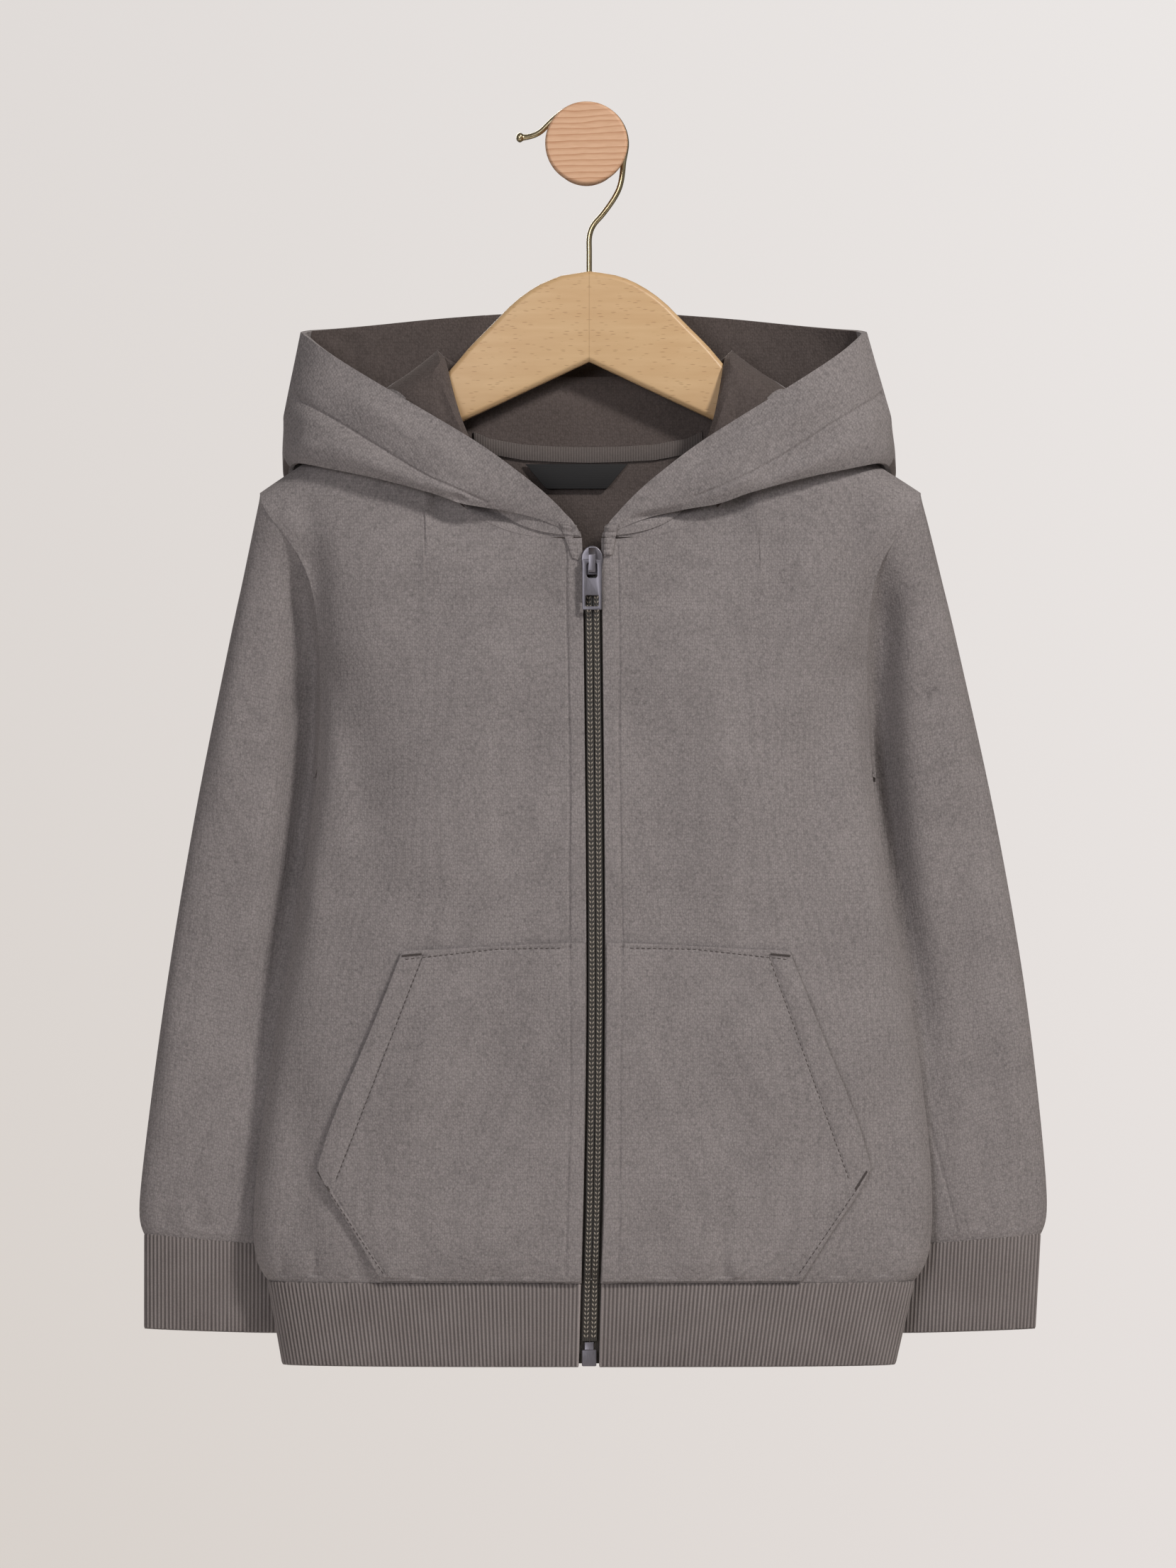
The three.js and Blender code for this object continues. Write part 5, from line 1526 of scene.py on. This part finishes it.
class Cast(Ground):
    """The outside of finished pieces, for what is laid on them."""

    def __init__(self, pieces: list[bpy.types.Object]) -> None:
        """Takes the pieces' surfaces.

        Args:
            pieces: The pieces.
        """
        corners: list[Vector] = []
        faces: list[list[int]] = []
        for piece in pieces:
            first = len(corners)
            corners += [v.co.copy() for v in piece.data.vertices]
            faces += [[first + v for v in p.vertices] for p in piece.data.polygons]
        self.tree = BVHTree.FromPolygons(corners, faces)


@dataclass
class Zip:
    """The zip: its tape, teeth, slider, pull tab and box. Sizes are in millimetres."""

    pitch: float = 2.57
    top: float = -250.4
    bottom: float = -689.0
    thread: float = 0.42
    slant: float = 0.95
    columns: tuple[float, float] = (-2.15, 2.15)
    tape_length: float = 0.46

    def teeth(self, ground: Ground) -> bpy.types.Object:
        """Makes the thread that holds the teeth, as two rows of small chevrons.

        Args:
            ground: The CAD model.

        Returns:
            The thread.
        """
        bm = bmesh.new()
        needle = Needlework()
        count = int((self.top - self.bottom) / self.pitch)
        for k in range(count):
            z = self.top - (k + 0.5) * self.pitch
            for column in self.columns:
                x = zip_line(z) + column
                for arm in (-1, 1):
                    low = Vector((x + arm * 0.25, 0, z - self.slant)) * MM
                    high = Vector((x + arm * 1.35, 0, z + self.slant)) * MM
                    y = ground.depth(low.x, low.z, Face.FRONT)
                    if y is None:
                        continue
                    low.y = high.y = y - 0.1 * MM
                    needle.stitch(bm, low, high, self.thread * MM)
        return finished(bm, "zip_thread", GLITTER)

    def strip(self, node: str, name: str, finish: Finish, flat: tuple[float, float]) -> bpy.types.Object:
        """Makes one side of the tape or of the teeth.

        Args:
            node: Its CAD node.
            name: The piece's name.
            finish: Its finish.
            flat: Its width and length in metres. It is not used.

        Returns:
            The piece.
        """
        bm = copy_of(node)
        rounded(bm, 40.0, 0.25)
        piece = finished(subdivided(bm, 2), name, finish)
        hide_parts(node)
        return piece

    def metal(self, node: str, name: str, body: str, edge: float) -> bpy.types.Object:
        """Makes a metal part with softened edges.

        Args:
            node: Its CAD node.
            name: The piece's name.
            body: The body that it rides on.
            edge: The width of the softened edge.

        Returns:
            The part.
        """
        bm = copy_of(node)
        bmesh.ops.dissolve_limit(bm, angle_limit=math.radians(1.0), verts=bm.verts, edges=bm.edges)
        rounded(bm, 32.0, edge, 2)
        piece = finished(bm, name, GUNMETAL, body, 35.0)
        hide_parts(node)
        return piece

    def build(self) -> None:
        """Makes the whole zip."""
        self.teeth(Ground(["zip_chain_left", "zip_chain_right"]))
        for side in ("left", "right"):
            self.strip(f"zip_tape_{side}", f"{side}_zip_tape", ZIP_TAPE, (0.0118, self.tape_length))
            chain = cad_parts[f"zip_chain_{side}"]
            chain.data.materials.clear()
            chain.data.materials.append(ZIP_COIL.material())
        self.metal("zip_slider", "slider", GARMENT, 0.18)
        self.metal("pull_tab", "pull", TAB, 0.18)
        self.metal("zip_box", "box_stop", GARMENT, 0.2)


@dataclass
class FacingEnd:
    """The turned-in end of the zip's facing: a narrow strip of fleece, gathered by its seam.

    top and bottom are the ends of its middle line, across and height. Sizes are in millimetres.
    """

    name: str
    side: Side
    top: Point
    bottom: Point
    half_widths: tuple[float, float] = (3.6, 2.3)
    gathers: tuple[float, ...] = (0.04, 0.24, 0.41, 0.62, 0.79, 0.95)
    gather_depth: float = 0.9
    wall: float = 1.3

    def build(self, ground: Ground) -> bpy.types.Object:
        """Makes the strip and lays it on the finished fronts.

        Args:
            ground: The finished cloth.

        Returns:
            The strip.
        """
        bm = bmesh.new()
        bmesh.ops.create_grid(bm, x_segments=8, y_segments=36, size=1.0)
        start, end = np.array(self.top), np.array(self.bottom)
        for vert in bm.verts:
            across, down = vert.co.x, (vert.co.y + 1) / 2
            inner = 0.5 + 0.5 * across
            dip = sum(math.exp(-(((down - g) / 0.045) ** 2)) for g in self.gathers)
            half = self.half_widths[0] + (self.half_widths[1] - self.half_widths[0]) * down
            scallop = 1 - 0.26 * dip * inner
            middle = start + (end - start) * down
            x = middle[0] - self.side.value * across * half * scallop
            puff = (1 - across**2) * 0.7 - dip * self.gather_depth * (0.35 + 0.65 * inner)
            vert.co = Vector((x, 0.0, middle[1] - 0.9 * inner * dip)) * MM
            under = ground.depth(vert.co.x, vert.co.z, Face.FRONT)
            base = -75.0 * MM if under is None or under > -72 * MM else under
            vert.co.y = min(base, -74.6 * MM) - (0.75 + puff) * MM
        bmesh.ops.recalc_face_normals(bm, faces=bm.faces)
        bmesh.ops.solidify(bm, geom=bm.faces[:], thickness=self.wall * MM)
        piece = finished(subdivided(bm, 1), self.name, BODY_FLEECE)
        return piece


@dataclass
class NeckTrim:
    """The tape over the neck seam inside, and the blank label below it."""

    def build(self) -> None:
        """Makes the tape and the label."""
        for node, name, finish, flat in (
            ("neck_tape", "back_neck_tape", NECK_TAPE, (0.132, 0.0125)),
            ("neck_label", "blank_label", LABEL, (0.061, 0.0145)),
        ):
            bm = copy_of(node)
            rounded(bm, 40.0, 0.2)
            piece = finished(bm, name, finish, GARMENT, 40.0)
            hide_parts(node)


@dataclass
class Hanger:
    """The hanger's wooden yoke, its wire hook and the peg on the wall. Sizes are in millimetres."""

    yoke_edge: float = 1.6
    peg_edge: float = 0.7

    def wooden(self, node: str, name: str, finish: Finish, edge: float, levels: int) -> bpy.types.Object:
        """Makes a wooden part with sanded edges.

        Args:
            node: Its CAD node.
            name: The piece's name.
            finish: Its finish.
            edge: The width of the sanded edge.
            levels: How often its faces are halved.

        Returns:
            The part.
        """
        bm = copy_of(node)
        bmesh.ops.dissolve_limit(bm, angle_limit=math.radians(0.5), verts=bm.verts, edges=bm.edges)
        rounded(bm, 40.0, edge, 3)
        if levels:
            bm = subdivided(bm, levels)
        piece = finished(bm, name, finish, GARMENT, 50.0)
        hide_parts(node)
        return piece

    def build(self) -> None:
        """Makes the three parts."""
        self.wooden("hanger_yoke", "yoke", BEECH, self.yoke_edge, 0)
        self.wooden("wall_peg", "peg", LARCH, self.peg_edge, 2)
        bm = subdivided(copy_of("hanger_hook"), 2)
        hook = finished(bm, "hook", HOOK_WIRE)
        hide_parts("hanger_hook")


@dataclass
class Studio:
    """The floor, the light and the camera. Sizes are in metres."""

    floor_height: float = -0.95
    camera_place: tuple[float, float, float] = (0.0009, -5.075, -0.3691)
    lens: float = 200.0
    sensor: float = 36.0

    def floor(self) -> None:
        """Lays a plain pale floor."""
        bm = bmesh.new()
        place = Matrix.Translation((0, -0.6, self.floor_height)) @ Matrix.Diagonal((1.4, 0.9, 1, 1))
        bmesh.ops.create_grid(bm, x_segments=1, y_segments=1, size=1.0, matrix=place)
        mesh = bpy.data.meshes.new("floor")
        bm.to_mesh(mesh)
        bm.free()
        paint = bpy.data.materials.new("Matt floor paint")
        paint.use_nodes = True
        shader = paint.node_tree.nodes["Principled BSDF"]
        shader.inputs["Base Color"].default_value = linear("#e2ddd9")
        shader.inputs["Roughness"].default_value = 0.9
        mesh.materials.append(paint)
        plane = bpy.data.objects.new("floor", mesh)
        bpy.context.scene.collection.objects.link(plane)

    def sky(self) -> None:
        """Gives a pale surround, darker to the left and lower down as painted shade, which lights the part
        less than it shows.
        """
        world = bpy.data.worlds.new("Pale room")
        bpy.context.scene.world = world
        world.use_nodes = True
        tree = world.node_tree
        tree.nodes.clear()
        place = add(tree, "ShaderNodeTexCoord").outputs["Generated"]
        axes = add(tree, "ShaderNodeSeparateXYZ", None, {"Vector": place}).outputs
        across = add(
            tree,
            "ShaderNodeMapRange",
            None,
            {"Value": axes["X"], "From Min": -0.07, "From Max": 0.07},
        ).outputs[0]
        up = add(
            tree,
            "ShaderNodeMapRange",
            None,
            {"Value": axes["Z"], "From Min": -0.09, "From Max": 0.09},
        ).outputs[0]
        # Painted shade: the surround is darker to the left and lower down.
        rows = []
        for left, right in (("#d8d1cb", "#e5dfdc"), ("#e0dbd8", "#ebe7e5")):
            ends = {0: across, 6: linear(left), 7: linear(right)}
            rows.append(add(tree, "ShaderNodeMix", COLOUR, ends).outputs[2])
        colour = add(tree, "ShaderNodeMix", COLOUR, {0: up, 6: rows[0], 7: rows[1]}).outputs[2]
        seen = add(tree, "ShaderNodeBackground", None, {"Color": colour, "Strength": 1.0}).outputs[0]
        glow = {"Color": linear("#ece6e2"), "Strength": 0.17}
        light = add(tree, "ShaderNodeBackground", None, glow).outputs[0]
        ray = add(tree, "ShaderNodeLightPath").outputs["Is Camera Ray"]
        both = add(tree, "ShaderNodeMixShader", None, {0: ray, 1: light, 2: seen}).outputs[0]
        add(tree, "ShaderNodeOutputWorld", None, {"Surface": both})

    def lamp(
        self,
        name: str,
        place: tuple[float, float, float],
        size: float,
        power: float,
        colour: str,
    ) -> None:
        """Hangs a soft square light that points at the garment.

        Args:
            name: Its name.
            place: Where it hangs.
            size: The length of its side.
            power: Its power in watts.
            colour: Its colour.
        """
        data = bpy.data.lights.new(name, "AREA")
        data.size = size
        data.energy = power
        data.color = linear(colour)[:3]
        lamp = bpy.data.objects.new(name, data)
        lamp.location = place
        aim = Vector((0.0, -0.02, -0.38)) - Vector(place)
        lamp.rotation_euler = aim.to_track_quat("-Z", "Y").to_euler()
        bpy.context.scene.collection.objects.link(lamp)

    def camera(self) -> None:
        """Sets the camera at the photograph's angle."""
        data = bpy.data.cameras.new("camera")
        data.lens = self.lens
        data.sensor_fit = "AUTO"
        data.sensor_width = self.sensor
        camera = bpy.data.objects.new("camera", data)
        camera.location = self.camera_place
        camera.rotation_euler = (math.radians(90), 0, 0)
        bpy.context.scene.collection.objects.link(camera)
        bpy.context.scene.camera = camera

    def build(self) -> None:
        """Sets up the whole studio."""
        bpy.context.scene.view_settings.view_transform = "Standard"
        self.floor()
        self.sky()
        self.camera()
        self.lamp("key", (2.0, -2.2, 1.9), 0.45, 96.0, "#fffaf6")
        self.lamp("fill", (-1.1, -3.0, 0.3), 1.0, 28.0, "#fdfbff")
        self.lamp("rear", (-0.6, 2.6, 0.9), 1.6, 40.0, "#ffffff")


def main() -> None:
    """Builds and dresses the whole object."""
    logging.basicConfig(level=logging.INFO, format="%(message)s")
    Studio().build()
    ground = Ground(sorted(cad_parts))
    cloth = Hoodie().build(ground)
    sewn = Cast(list(cloth.values()))
    Needlework().build(sewn)
    Zip().build()
    for end in (
        FacingEnd("left_facing_end", Side.LEFT, (-12.2, -219.5), (-6.0, -239.5)),
        FacingEnd("right_facing_end", Side.RIGHT, (14.4, -220.0), (12.2, -238.0)),
    ):
        end.build(sewn)
    NeckTrim().build()
    Hanger().build()


if __name__ == "__main__":
    main()
